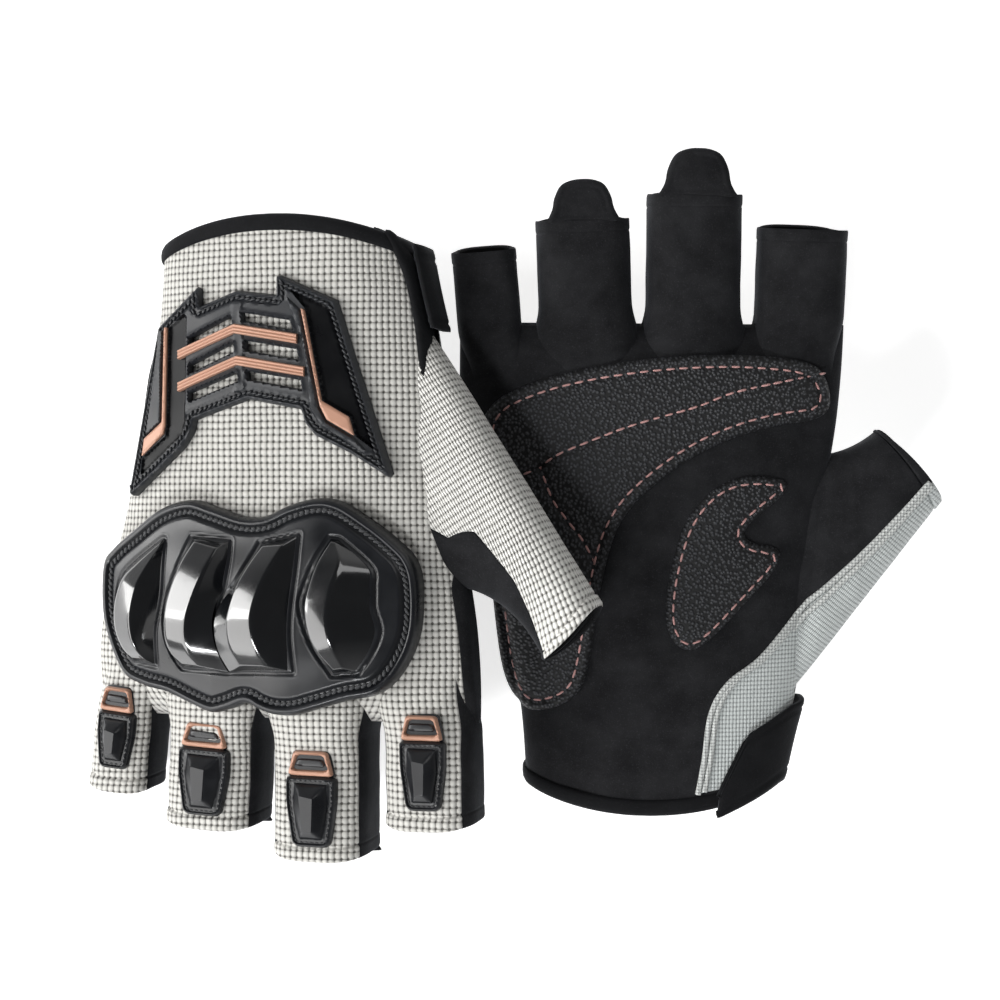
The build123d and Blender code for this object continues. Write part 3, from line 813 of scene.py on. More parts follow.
def finger_guard(name):
    """Backing plate with a faceted block, and the copper loop with its grey bar."""
    width, near, far = FINGER_GUARDS[name]
    start = near - FINGERS[name][4]
    end = far - FINGERS[name][4]
    length = end - start
    w = width / 2
    plate = chaikin([(-w, start + 0.2), (w, start), (w * 0.99, start + 0.4 * length), (w * 0.74, end),
                     (-w * 0.76, end), (-w, start + 0.4 * length)], 2, 0.12)
    loop_base = chaikin([(-w * 0.72, start - 6.3), (w * 0.72, start - 6.3), (w * 0.94, start + 0.8),
                         (-w * 0.94, start + 0.8)], 2, 0.1)
    block = [(-w * 0.62, start + 2.2), (w * 0.62, start + 2.0), (w * 0.68, start + 0.45 * length),
             (w * 0.42, end - 2.2), (-w * 0.45, end - 2.2), (-w * 0.68, start + 0.45 * length)]
    ridge = [(-w * 0.22, start + 5.4), (w * 0.3, start + 4.8), (w * 0.22, end - 4.2), (-w * 0.16, end - 4.4)]
    block_loop, ridge_loop = np.array(block), np.array(ridge)

    def height(q):
        d = depth(q, plate)
        z = 0.2 + 1.35 * rounded(d, 0.7) - 0.55 * step(0.75, 1.1, d) + 0.2 * step(1.9, 2.3, d)
        foot, top = depth(q, block_loop), depth(q, ridge_loop)
        share = np.clip(foot, 0, 9) / np.maximum(np.clip(foot, 0, 9) + np.clip(-top, 0, 9), 1e-6)
        share = np.where(top > 0, 1.0, share)
        tip = np.clip((q[:, 1] - start) / length, 0, 1)
        return z + np.where(foot > 0, 0.25, 0) * step(0, 0.3, foot) + share * (2.7 - 0.9 * tip)

    soup = relief(plate, height, -0.6, 0.42,
                  creases=[(block_loop, True), (ridge_loop, True), (inset(plate, 0.75), True)])
    d_base = relief(loop_base, lambda q: 0.1 + 0.75 * rounded(depth(q, loop_base), 0.6),
                    -0.6, 0.6)
    soup.join(d_base)
    bar = chaikin([(-w * 0.5, start - 3.9), (w * 0.5, start - 4.1), (w * 0.6, start - 2.2),
                   (-w * 0.6, start - 2)], 1, 0.12)
    soup.join(relief(bar, lambda q: 1.0 + 0.5 * rounded(depth(q, bar), 0.4),
                     0.4, 0.4))
    frame_outer = chaikin([(-w * 0.66, start - 5.9), (w * 0.66, start - 6.0), (w * 0.9, start + 0.1),
                           (-w * 0.9, start + 0.3)], 2, 0.08)
    frame_inner = chaikin([(-w * 0.5, start - 4.9), (w * 0.49, start - 5.0), (w * 0.68, start - 1.3),
                           (-w * 0.7, start - 1.2)], 1, 0.1)
    loop = relief(frame_outer, lambda q: 0.9 + 0.9 * np.sqrt(np.clip(np.minimum(
        depth(q, frame_outer), -depth(q, frame_inner)) / 0.4, 0, 1)),
        0.3, 0.36, holes=[frame_inner])
    line = np.column_stack([inset(plate, 1.35), np.full(len(plate), 1.05)])
    seam = stitches(line, 1.35, 1.0, 0.2)
    return soup, loop, seam


def soft_tab(name, turned):
    """Rounded tongue at a stall's palm side, tucked back under the stall or standing out."""
    x_mid, _, _, z_low, y_web, y_end, splay = FINGERS[name]
    tab_width, tab_length = {"ring": (15.0, 10.0), "middle": (16.0, 11.5)}[name]
    w = tab_width / 2
    outline = chaikin([(-w * 1.32, -2.2), (w * 1.32, -2.2), (w * 1.16, -0.6), (w * 1.02, 1.6),
                       (w * 0.97, tab_length * 0.42), (w * 0.74, tab_length * 0.76),
                       (w * 0.3, tab_length * 0.88), (-w * 0.3, tab_length * 0.88),
                       (-w * 0.74, tab_length * 0.76), (-w * 0.97, tab_length * 0.42),
                       (-w * 1.02, 1.6), (-w * 1.16, -0.6)], 2, 0.22)
    soup = Soup()
    for side in (1, -1):
        face = relief(outline, lambda q: 0.75 * rounded(depth(q, outline), 0.9)
                      - 0.18 * bell(depth(q, outline) - 1.9, 0.3),
                      0.0, 0.5)
        points = np.vstack(face.points)
        points[:, 2] *= side
        faces = face.faces if side > 0 else [f[::-1] for f in face.faces]
        soup.add(points, faces, face.slots, np.vstack(face.flat))
    lean = math.radians(splay)
    hinge = y_end - y_web - 0.25

    def to_hand(p):
        x, y, z = p[:, 0], p[:, 1], p[:, 2]
        y_own, z_own = (hinge - y, -0.95 - z) if turned else (hinge + y, 0.8 + z)
        return np.stack([x_mid + x * math.cos(lean) + y_own * math.sin(lean),
                         y_web + y_own * math.cos(lean) - x * math.sin(lean), z_low + z_own], 1)
    return soup.moved(to_hand)


# ---------------------------------------------------------------- thumb
THUMB_POWER = 2.6
THUMB_HALF = 9.6
THUMB_BACK_HALF = 8.6
# seams of the grey panel: places along the thumb, and shares of its width from the outer edge
TOP_SEAM = ([-0.1, 0, 0.25, 0.6, 0.8, 1.0], [0.80, 0.80, 0.66, 0.68, 0.80, 0.93])
LOW_SEAM = ([-0.25, 0, 1.0], [0.36, 0.375, 0.27])


def thumb_surface(prefix, turn, t, out=0.0):
    """Point on the thumb: turn 0 at the inner edge and a half turn at the outer one, t 0 at the
    hand and 1 at the mouth."""
    angle, length, tip_inner = THUMBS[prefix]
    along = np.array([-math.sin(math.radians(angle)), math.cos(math.radians(angle))])
    turn, t, out = np.broadcast_arrays(np.asarray(turn, float), t, out)
    c, s = np.cos(turn), np.sin(turn)
    outer = THUMB_PIVOT + np.array([1.2, 0]) + t[..., None] * length * along
    tip = np.array(tip_inner, float)
    bow = np.array([-1.0, -1.6]) * (1.8 if prefix == "upper" else 0.6)
    inner = THUMB_WEB + t[..., None] * (tip - THUMB_WEB) + bow * (4 * t * (1 - t))[..., None]
    middle, half = (outer + inner) / 2, (inner - outer) / 2
    reach = np.linalg.norm(half, axis=-1)
    unit = half / reach[..., None]
    q = np.sign(c) * np.abs(c) ** (2 / THUMB_POWER)
    plan = middle + unit * ((reach + out) * q)[..., None]
    plan = plan + (0.9 * step(0.8, 1.0, t) * (1 - q ** 2))[..., None] * along
    palm_half = np.interp(t, [-0.25, 0, 0.12, 0.4, 1], [6.5, 7.6, 9.2, 10.6, THUMB_HALF])
    back_half = np.interp(t, [-0.25, 0.5, 1], [7.5, THUMB_BACK_HALF, THUMB_HALF])
    z = (np.where(s > 0, back_half, palm_half) + out) * np.sign(s) * np.abs(s) ** (2 / THUMB_POWER)
    z = z + 0.5 * np.sin(5 * t) * (1 - q ** 2)
    return np.concatenate([plan, z[..., None]], -1)


def turn_at(share, side):
    """Turn on the thumb where a seam lies at a share of the width from the outer edge."""
    q = np.clip(2 * np.asarray(share, float) - 1, -0.999, 0.999)
    turn = np.arccos(np.sign(q) * np.abs(q) ** (THUMB_POWER / 2))
    return turn if side > 0 else 2 * math.pi - turn


def thumb_panels(prefix):
    """Grey outer panel with its corded seam, and black gusset, of one thumb."""
    angle, length, _ = THUMBS[prefix]
    t = np.concatenate([np.linspace(-0.25, 0.92, 72), np.linspace(0.925, 1.0, 20)])
    top_share = np.interp(t, *TOP_SEAM)
    low_share = np.interp(t, *LOW_SEAM)
    top, low = turn_at(top_share, 1), turn_at(low_share, -1)
    t = t[:, None]
    hem = hem_shape(t * length, length)
    lean = math.radians(angle)
    panels = []
    for first, last, count in ((top, low, 84), (low - 2 * math.pi, top, 70)):
        share = np.linspace(0, 1, count)[None, :]
        turn = first[:, None] + share * (last - first)[:, None]
        p = thumb_surface(prefix, turn, t, hem)
        p[..., 2] += wobble(p, 0.22, 1.4) * np.sign(p[..., 2] + 1e-6)
        centre = p.mean(1)
        flat = arc_flat(p, count // 2)
        flat[..., 1] = p[..., 1] * math.cos(lean) - p[..., 0] * math.sin(lean)
        panels.append(cloth(p, centre, flat))
    rows = np.linspace(-0.2, 0.985, 90)
    cord_turn = turn_at(np.interp(rows, *LOW_SEAM), -1)
    for offset in (-0.055, 0.035):
        line = thumb_surface(prefix, cord_turn + offset, rows, 0.15)
        panels[0].add(*tube(line, CORD_RADIUS), 2)
    return panels


# ---------------------------------------------------------------- moulded guard on the knuckles
GUARD_OUTLINE = [(36.9, 78.6), (28.3, 73), (20, 70.9), (13, 72.6), (5, 75), (-1, 74.8), (-7, 72.2),
                 (-14, 70.5), (-20, 71.3), (-27, 75.6), (-33, 80.3), (-37.5, 85.2), (-39.3, 92), (-39, 103),
                 (-35.5, 112), (-29.7, 118), (-21.6, 120), (-15, 122), (-8.4, 123.8), (-3, 123.7),
                 (0.7, 122.6), (4.1, 121.2), (8.7, 122.8), (13.5, 123.8), (19.3, 122), (26, 119.4),
                 (33.2, 118), (39.4, 115.4), (43.7, 108.7), (46.6, 99.5), (46.4, 87.5), (43, 83)]
BOSSES = {  # lines along each boss: outer foot, bevel, ridge, inner foot
    "little": (
        [(27.2, 80.7), (36, 86.7), (39.7, 90.6), (41.4, 97.7), (41.3, 104.3), (38.8, 109), (36, 111.7)],
        [(26.9, 81.5), (33.2, 86.9), (36.9, 90.8), (39, 97.2), (39, 103.2), (37.4, 108), (35.2, 110.7)],
        [(26.8, 82), (30.5, 88.4), (32.4, 93.3), (33.6, 99.9), (33.2, 105.4), (32.3, 108.7), (31.3, 110.8)],
        [(26.4, 80.7), (26.5, 86.7), (26.8, 93.3), (27.6, 97.7), (28.8, 103.2), (29.1, 108.7), (29, 112.6)]),
    "ring": (
        [(18.3, 80.2), (20.8, 85.1), (23.8, 92.2), (25.6, 97.6), (25.5, 104.3),
         (23.8, 109.3), (21.2, 112.8)],
        [(16.4, 81.2), (19.2, 86.2), (22, 93.3), (23.2, 99.4), (23.2, 105), (22.2, 109), (20.2, 111.6)],
        [(10.2, 82.8), (12, 86.9), (14.9, 93.9), (16.8, 99.9), (17.3, 105.2), (16.7, 109), (15.5, 111.8)],
        [(7.9, 80.9), (8.1, 86.2), (9.1, 92.2), (10.6, 96.8), (10.9, 101.6), (10, 107.6), (8, 113.4)]),
    "middle": (
        [(-0.4, 81.5), (2.4, 86.2), (5.6, 91.4), (9, 96.1), (10.3, 101.4), (9.6, 107.6), (7.6, 113.3)],
        [(-1.7, 82.2), (0.8, 86.2), (3.9, 92.2), (5.6, 98.8), (5.8, 103.2), (5.3, 107.3), (3.9, 111.4)],
        [(-7.2, 81.9), (-4.7, 86.9), (-2.1, 93.9), (-0.9, 99.4), (-0.8, 103.4),
         (-1.4, 107.4), (-2.8, 111.4)],
        [(-10.3, 79.3), (-9.9, 86.7), (-8.9, 93.9), (-8.3, 99.4), (-8.2, 104.3),
         (-8.6, 108.9), (-8.9, 113)]),
    "index": (
        [(-18.2, 80.1), (-15, 85.6), (-12.2, 92.2), (-11.1, 96.6), (-12.5, 102.1),
         (-15, 107.6), (-18.8, 113.4)],
        [(-19, 81), (-16.5, 86.2), (-14.7, 92.2), (-14, 97.2), (-14.7, 102.7),
         (-16.4, 107.3), (-19.6, 112)],
        [(-19.9, 81.2), (-21.8, 86.2), (-20.7, 91.7), (-19.8, 97.2), (-19.9, 102.7),
         (-20.7, 107.3), (-22, 111.6)],
        [(-20.5, 80.4), (-28.3, 87.3), (-29, 92.2), (-29.1, 97.2), (-30.4, 102.7),
         (-28.4, 108.2), (-25, 112.8)]),
}
BEVEL_HEIGHTS = {"little": (1.0, 3.0, 4.2, 5.0, 4.9, 3.7, 2.0), "ring": (2.6, 3.8, 4.9, 5.5, 5.2, 3.8, 2.1),
                 "middle": (2.2, 3.4, 4.5, 5.2, 5.0, 3.8, 2.1), "index": (1.2, 2.9, 4.1, 4.8, 4.6, 3.4, 1.7)}
RIDGE_HEIGHTS = {"little": (1.2, 3.4, 4.8, 5.6, 5.3, 4.0, 2.2), "ring": (2.6, 4.0, 5.3, 6.0, 5.6, 4.1, 2.3),
                 "middle": (2.4, 3.8, 5.1, 5.8, 5.4, 4.1, 2.3), "index": (1.2, 3.3, 4.8, 5.5, 5.2, 3.9, 2.0)}
SADDLE_HEIGHTS = (-0.5, -0.5, -0.3, 1.6, 2.9, 2.4, 0.4)  # where the two middle bosses meet
GUARD_SEAT = 2.0
BOSS_SINK = 0.6
FACET_SHARES = (0.0, 0.06, 0.14, 0.5, 0.86, 0.94)


def boss_outline(name):
    outer, _, _, inner = BOSSES[name]
    return np.vstack([spline(outer, 30), spline(inner, 30)[::-1]])


def dome(q, rim):
    """Height of the guard's satin dome over its seat, by distance in from the rim."""
    d = depth(q, rim)
    lip = 2.5 * np.sqrt(np.clip(1 - (1 - np.clip(d / 1.5, 0, 1)) ** 2, 0, 1))
    channel = -1.15 * step(1.7, 2.5, d) + 1.0 * step(3.6, 4.6, d)
    return lip + channel + 1.3 * step(4, 16, d)


def guard_shell():
    """Satin shell with a rounded lip, a stitched channel and a groove round each boss."""
    rim = spline(GUARD_OUTLINE, 260, closed=True)
    feet = [boss_outline(name) for name in BOSSES]

    def height(q):
        near = np.full(len(q), -99.0)
        for foot in feet:
            near = np.maximum(near, depth(q, foot))
        groove = -0.8 * bell(near + 0.4, 0.3) + 0.14 * bell(near + 0.95, 0.25)
        return back_z(q[:, 0]) + GUARD_SEAT + dome(q, rim) + groove

    soup = relief(rim, height, lambda q: skin_top(q) - 0.4, 0.48)
    line = inset(rim, 3.0)
    track = np.column_stack([line, back_z(line[:, 0]) + GUARD_SEAT + 1.5])
    rope = stitches(track, 1.5, 1.75, 0.42, turn=0.5)
    return soup, rope


def guard_bosses():
    """Four faceted gloss bosses, arched along the hand."""
    rim = spline(GUARD_OUTLINE, 260, closed=True)
    soup = Soup()
    count = 44
    for name, lines in BOSSES.items():
        outer, bevel, ridge, inner = (spline(line, count) for line in lines)
        seat = [back_z(line[:, 0]) + GUARD_SEAT + dome(line, rim) for line in (outer, bevel, ridge, inner)]
        rise_b = spline(np.array(BEVEL_HEIGHTS[name])[:, None], count)[:, 0]
        rise_r = spline(np.array(RIDGE_HEIGHTS[name])[:, None], count)[:, 0]
        saddle = spline(np.array(SADDLE_HEIGHTS)[:, None], count)[:, 0]
        rise_o = saddle if name == "middle" else -0.5
        rise_i = saddle if name == "ring" else -0.5
        chain = [np.column_stack([outer, seat[0] + rise_o]), np.column_stack([bevel, seat[1] + rise_b]),
                 np.column_stack([ridge, seat[2] + rise_r]), np.column_stack([inner, seat[3] + rise_i])]
        section = []
        for a, b in zip(chain, chain[1:]):
            for share in FACET_SHARES:
                section.append(a + share * (b - a))
        section.append(chain[-1])
        p = np.array(section)
        for corner in (6, 12):
            for _ in range(2):
                around = p[corner - 2:corner + 3].copy()
                for k in (1, 2, 3):
                    p[corner - 2 + k] = 0.5 * around[k] + 0.25 * (around[k - 1] + around[k + 1])
        p = p.transpose(1, 0, 2)
        across = np.linspace(0, 1, p.shape[1])
        foot_z = np.interp(across, [0, 1], [seat[0][-1] - BOSS_SINK, seat[3][-1] - BOSS_SINK])
        head = np.column_stack([outer[0] + across[:, None] * (inner[0] - outer[0]),
                                np.full(len(across), seat[0][0] - BOSS_SINK)])
        foot = np.column_stack([outer[-1] + across[:, None] * (inner[-1] - outer[-1]), foot_z])
        first = [head + share * (p[0] - head) for share in (0, 0.5, 0.85)]
        last = [foot + share * (p[-1] - foot) for share in (0.85, 0.5, 0)]
        rows = np.array([*first, *p, *last])
        soup.add(rows, grid(*rows.shape[:2]))
    return soup


# ---------------------------------------------------------------- moulded trim on the wrist
TRIM_OUTLINE = [(18.6, 17.4), (17.7, 18), (17.6, 22.2), (7.6, 18.7), (-3, 20.1), (-2.9, 15.6), (-4, 15.3),
                (-18.6, 21.8), (-32.2, 64.6), (-31.2, 65.4), (-22, 59.5), (-13, 55), (-10.4, 52),
                (-9.4, 48.6), (4.2, 46), (19, 50.8), (19.9, 54), (22.6, 57.7), (30, 63.8), (38.2, 70),
                (39.3, 69.2), (30.2, 27.2)]
WINDOWS = [
    [(20.6, 30.2), (8.9, 25.2), (8.7, 27.2), (20.6, 32)],
    [(20.6, 37), (8.2, 31.8), (7.9, 34), (20.6, 39.2)],
    [(20.6, 44), (7.2, 39.2), (6.9, 41.4), (20.6, 46.2)],
    [(5.6, 24.4), (-6.8, 26.6), (-7.6, 29), (5.5, 26.4)],
    [(4.9, 31.4), (-8.6, 33.8), (-9.2, 36.4), (4.7, 33.8)],
    [(4.3, 39), (-9.6, 41.4), (-10, 43.7), (4.1, 41)]]
BARS = [[(23.4, 34.4), (7.6, 28.4), (-9, 31.3)], [(23.4, 42.5), (6.9, 36.3), (-10.9, 39.4)]]
BAR_HALF = 1.22
LEFT_FACET = [(29.6, 28.2), (27.9, 27.4), (28.4, 51.3), (33.6, 55.4)]
LEFT_STRIPE = [(27.6, 27.5), (26.7, 27.5), (27.3, 52), (27.9, 54.2), (34.4, 59.8), (33.7, 55.4), (28.3, 51.2)]
LEFT_PANEL = [(26.5, 27.2), (21.9, 24), (21.2, 25), (21.7, 51), (23, 54.8), (35.2, 64.8), (34.6, 60.1),
              (27.6, 54.7), (27, 52)]
RIGHT_BEVEL = [(-6, 20.6), (-9.7, 24), (-14.6, 48), (-16.4, 51.5), (-23.2, 55.6), (-27.6, 60), (-26.1, 60.3),
               (-15, 52.7), (-12, 48.6), (-11.6, 41.2), (-10, 31.3), (-7, 23.8)]
RIGHT_STRIPE = [(-10, 23.9), (-10.9, 24.3), (-15.3, 46.6), (-22.1, 50.6), (-23.4, 55.2), (-16.6, 51.2),
                (-14.9, 47.9)]
RIGHT_RECESS = [(-6.3, 18.6), (-17, 23.6), (-28.4, 59), (-23.7, 55.4), (-22.3, 50.5), (-15.5, 46.6),
                (-11.1, 24.2)]


def wrist_trim():
    """Rubber frame with a roped border, windows, facets and recessed gloss panels."""
    outline = np.array(TRIM_OUTLINE)
    regions = [(np.array(shape), rise, slot) for shape, rise, slot in (
        (LEFT_FACET, 1.1, 0), (LEFT_PANEL, -0.75, 1), (RIGHT_BEVEL, 0.75, 0), (RIGHT_RECESS, -0.9, 1))]
    windows = [np.array(w) for w in WINDOWS]

    def height(q):
        d = depth(q, outline)
        z = 0.35 + 1.75 * rounded(d, 0.7) - 0.5 * step(0.9, 1.2, d) + 0.45 * step(2.5, 2.8, d)
        for shape, rise, _ in regions:
            z = z + rise * step(0, 0.45, depth(q, shape))
        edge = np.full(len(q), -99.0)
        for window in windows:
            edge = np.maximum(edge, depth(q, window))
        z = z + 0.3 * bell(edge + 0.45, 0.3) - 0.5 * step(-0.2, 0.0, edge)
        rib = np.abs(q[:, 0] - (6.6 + 0.04 * (34 - q[:, 1]))) < 1.4
        z = z + np.where(rib & (q[:, 1] < 44) & (q[:, 1] > 22), 0.35, 0)
        return back_z(q[:, 0]) + z

    def slot_at(q):
        slots = np.zeros(len(q), int)
        for shape, _, slot in regions:
            slots = np.where(depth(q, shape) > 0.12, slot, slots)
        return slots

    soup = relief(outline, height, lambda q: skin_top(q) - 0.4, 0.52, holes=windows,
                  creases=[(shape, True) for shape, _, _ in regions] + [(inset(outline, 0.9), True)],
                  slot_at=slot_at)
    line = resample(inset(outline, 1.85), 0.5)
    track = np.column_stack([line, back_z(line[:, 0]) + 1.85])
    rope = stitches(track, 1.42, 1.5, 0.36, turn=0.42)
    return soup, rope


def trim_copper():
    """Two ribbed chevrons and two stripes with feet."""
    soup = Soup()
    for bar in BARS:
        left, middle, right = (np.array(p) for p in bar)
        for start, end in ((left, middle), (middle, right)):
            rows = []
            across = np.linspace(-1, 1, 25)
            rib = 2.95 + 0.24 * np.abs(np.cos(across * 1.5 * math.pi))
            rib = rib - 0.55 * step(0.86, 1.0, np.abs(across))
            for share in np.linspace(0, 1, 14):
                centre = start + share * (end - start)
                plan = centre + (across * BAR_HALF)[:, None] * np.array([0.0, 1.0])
                rows.append(np.column_stack([plan, back_z(plan[:, 0]) + rib]))
            rows = np.array(rows)
            under = rows.copy()
            under[..., 2] -= 1.0
            ring = np.concatenate([rows, under[:, ::-1]], axis=1)
            n = ring.shape[1]
            faces = grid(len(ring), n, closed=True)
            faces += [tuple(range(n)), tuple((len(ring) - 1) * n + j for j in range(n))[::-1]]
            soup.add(ring, faces)
    for stripe, rise in ((LEFT_STRIPE, 3.0), (RIGHT_STRIPE, 2.9)):
        shape = np.array(stripe)
        soup.join(relief(shape, lambda q: back_z(q[:, 0]) + rise - 0.3 + 0.3 * np.sqrt(
            np.clip(depth(q, shape) / 0.25, 0, 1)), lambda q: back_z(q[:, 0]) + 1.0, 0.42))
    return soup


# ---------------------------------------------------------------- patches on the palm
PALM_PATCH = [(-46, 105), (-44.5, 112.5), (-40, 117), (-22, 118.5), (-4, 117.8), (14, 115.4), (30, 111.5),
              (43, 105), (44, 92), (42, 70), (39.5, 46), (37.5, 34), (34, 27.5), (29, 25.5), (19, 29.5),
              (15.5, 37), (12.5, 62), (8, 77), (-2, 87), (-15, 95.5), (-30, 100.5), (-42, 101.7)]
THUMB_PATCH = [(-37.5, 85.5), (-28, 88), (-17.5, 86.5), (-9, 78), (-5, 65), (-3.5, 52), (-5.5, 45),
               (-10, 42.5), (-15, 45), (-26, 57), (-33.5, 65), (-33, 69.5), (-24.5, 70.5), (-23, 74.5)]
BRANCH = [
    [(-42.4, 113.6), (-21.3, 109.2), (-10.9, 105.3), (4.9, 100.6), (15.6, 96.5), (24.4, 92.6), (28.3, 89.4)],
    [(28.3, 89.4), (25.2, 81.4), (20.8, 75.4), (17.4, 71), (14.6, 65.8)],
    [(28.3, 89.4), (41.5, 84)]]


def leather_patch(outline, margin, branches=()):
    """Leather patch with a rolled border, a sunk line under its stitches, and the stitches."""
    shape = chaikin(outline, 2)
    sewn = inset(resample(shape, 1.0), margin)
    lines = [spline(branch, 60) for branch in branches]

    def drop(q):
        d = depth(q, shape)
        z = 2.1 * rounded(d, 1.3) - 0.75 * bell(d - margin, 0.7)
        z = z + 0.55 * step(margin + 0.6, margin + 6, d)
        for line in lines:
            gap = np.min(np.linalg.norm(q[:, None] - line[None], axis=2), axis=1)
            z = z - 0.7 * bell(gap, 0.8) * (d > margin)
        return skin_low(q) - z

    soup = relief(shape, drop, lambda q: skin_low(q) + 0.4, 0.75).flipped()
    threads = Soup()
    paths = [(sewn, True)] + [(line, False) for line in lines]
    for path, closed in paths:
        fine = resample(path, 0.6, closed)
        track = np.column_stack([fine, drop(fine) - 0.1])
        threads.join(stitches(track, 3.3, 2.6, 0.3, closed=closed, sink=-0.5))
    return soup, threads


SIDE_SEAM = [(-13.8, 6), (-15.3, 14.8), (-16.9, 27), (-21.3, 34.8), (-30.2, 41.8), (-43.0, 57.0)]

SIDE_PROUD = 0.45


def side_panel():
    """Finer grey panel at the thumb side of the palm, with its corded seam."""
    seam = spline(SIDE_SEAM, 40)
    outline = np.vstack([seam, [(-43.0, 50), (-40.4, 40), (-38.8, 30), (-36.5, 18), (-34.6, 10)]])
    soup = relief(outline, lambda q: skin_low(q) - SIDE_PROUD, lambda q: skin_low(q) + 0.3, 1.0).flipped()
    for offset in (-0.75, 0.9):
        line = np.column_stack([seam[:, 0] + offset, seam[:, 1] - 0.4 * offset])
        soup.add(*tube(np.column_stack([line, skin_low(line) - SIDE_PROUD]), CORD_RADIUS), 1)
    return soup


STRAP_LOW = [(-48, 8), (-37, 8), (-20.5, 0.4), (-18.7, 0.4)]
STRAP_HIGH = [(-48, 27), (-36, 27), (-25, 21), (-18.4, 1.4)]
LOOP_OUTLINE = [(-33.5, 10), (-33.5, 21.5), (-28, 18), (-23.5, 7)]


def strap():
    """Felt strap from the thumb's edge round to its slanted end on the palm."""
    count, rows = 60, 26
    turn = np.linspace(math.pi - 0.3, math.pi + 1.26, count)
    start = hand_surface(turn, 15.0, 2.6)
    x = np.where(turn < math.pi, -48, start[:, 0])
    low, high = np.array(STRAP_LOW, float), np.array(STRAP_HIGH, float)
    near, far = np.interp(x, low[:, 0], low[:, 1]), np.interp(x, high[:, 0], high[:, 1])
    share = np.linspace(0, 1, rows)[:, None]
    y = near + share * (far - near)
    rim = RIM_RADIUS - np.sqrt(RIM_RADIUS ** 2 - start[:, 0] ** 2)
    v = y - rim * (1 - step(0, 45, y))
    edge = np.minimum(share, 1 - share)
    lift = 2.5 + 0.25 * step(0, 0.06, edge) - 0.3 * bell(edge - 0.12, 0.02)
    lift = lift + 1.6 * bell(turn - math.pi, 0.35)
    p = hand_surface(turn[None, :], v, lift)
    wrist = np.zeros((rows, 3)) + p.mean((0, 1)) + np.array([25, 0, 12])
    return cloth(p, wrist, arc_flat(p, 0), 1.3, inner=0)


def tape(high, low):
    """Loop patch on the palm, or the hook pad over it, under the strap's end."""
    shape = chaikin(LOOP_OUTLINE, 2)
    return relief(shape, lambda q: skin_low(q) - high, lambda q: skin_low(q) - low, 1.0).flipped()


# ---------------------------------------------------------------- make every piece
BACK_PANEL, PALM_PANEL = hand_panels()
BAND = cuff_band()
SHELL, SHELL_ROPE = guard_shell()
BOSS_SOUP = guard_bosses()
TRIM, TRIM_ROPE = wrist_trim()
COPPER_SOUP = trim_copper()
PALM_LEATHER, PALM_THREAD = leather_patch(PALM_PATCH, 3.0, BRANCH)
THUMB_LEATHER, THUMB_THREAD = leather_patch(THUMB_PATCH, 1.8)
SIDE_SOUP = side_panel()
STRAP = strap()
LOOP = tape(0.6, -0.2)
HOOK = tape(1.25, 0.7)
STALLS = {name: finger_panels(name) for name in FINGERS}
GUARDS = {name: finger_guard(name) for name in FINGERS}

HAND_PIECES = [  # name, surface, materials, slot, and the nodes it stands for
    ("back_fabric", BACK_PANEL, [MESH, LINING], "grey_mesh", "dorsal_panel"),
    ("palm_fabric", PALM_PANEL, [BLACK, LINING], "black_microfibre", "palm_panel"),
    ("cuff_band", BAND, [FELT], "binding", "cuff_binding"),
    ("palm_thread", PALM_THREAD, [PINK], "thread"),
    ("heel_leather", THUMB_LEATHER, [LEATHER], "patch_leather", "thumb_patch"),
    ("heel_thread", THUMB_THREAD, [PINK], "thread"),
    ("side_fabric", SIDE_SOUP, [SIDE, CORD], "grey_mesh"),
    ("loop_tape", LOOP, [TAPE], "hook_loop", "loop_patch"),
]
RIGID_PIECES = [  # the same with the angle of their sharp edges after the slot
    ("guard_shell", SHELL, [HARD], "hard_shell", None, "knuckle_guard"),
    ("guard_rope", SHELL_ROPE, [DARK_THREAD], "thread", None),
    ("guard_bosses", BOSS_SOUP, [GLOSS], "hard_shell", None),
    ("trim", TRIM, [RUBBER, RECESS], "trim_rubber", 38, "wrist_trim"),
    ("trim_rope", TRIM_ROPE, [RUBBER], "trim_rubber", None),
    ("trim_copper", COPPER_SOUP, [COPPER], "accent_copper", 40, "trim_accents"),
]

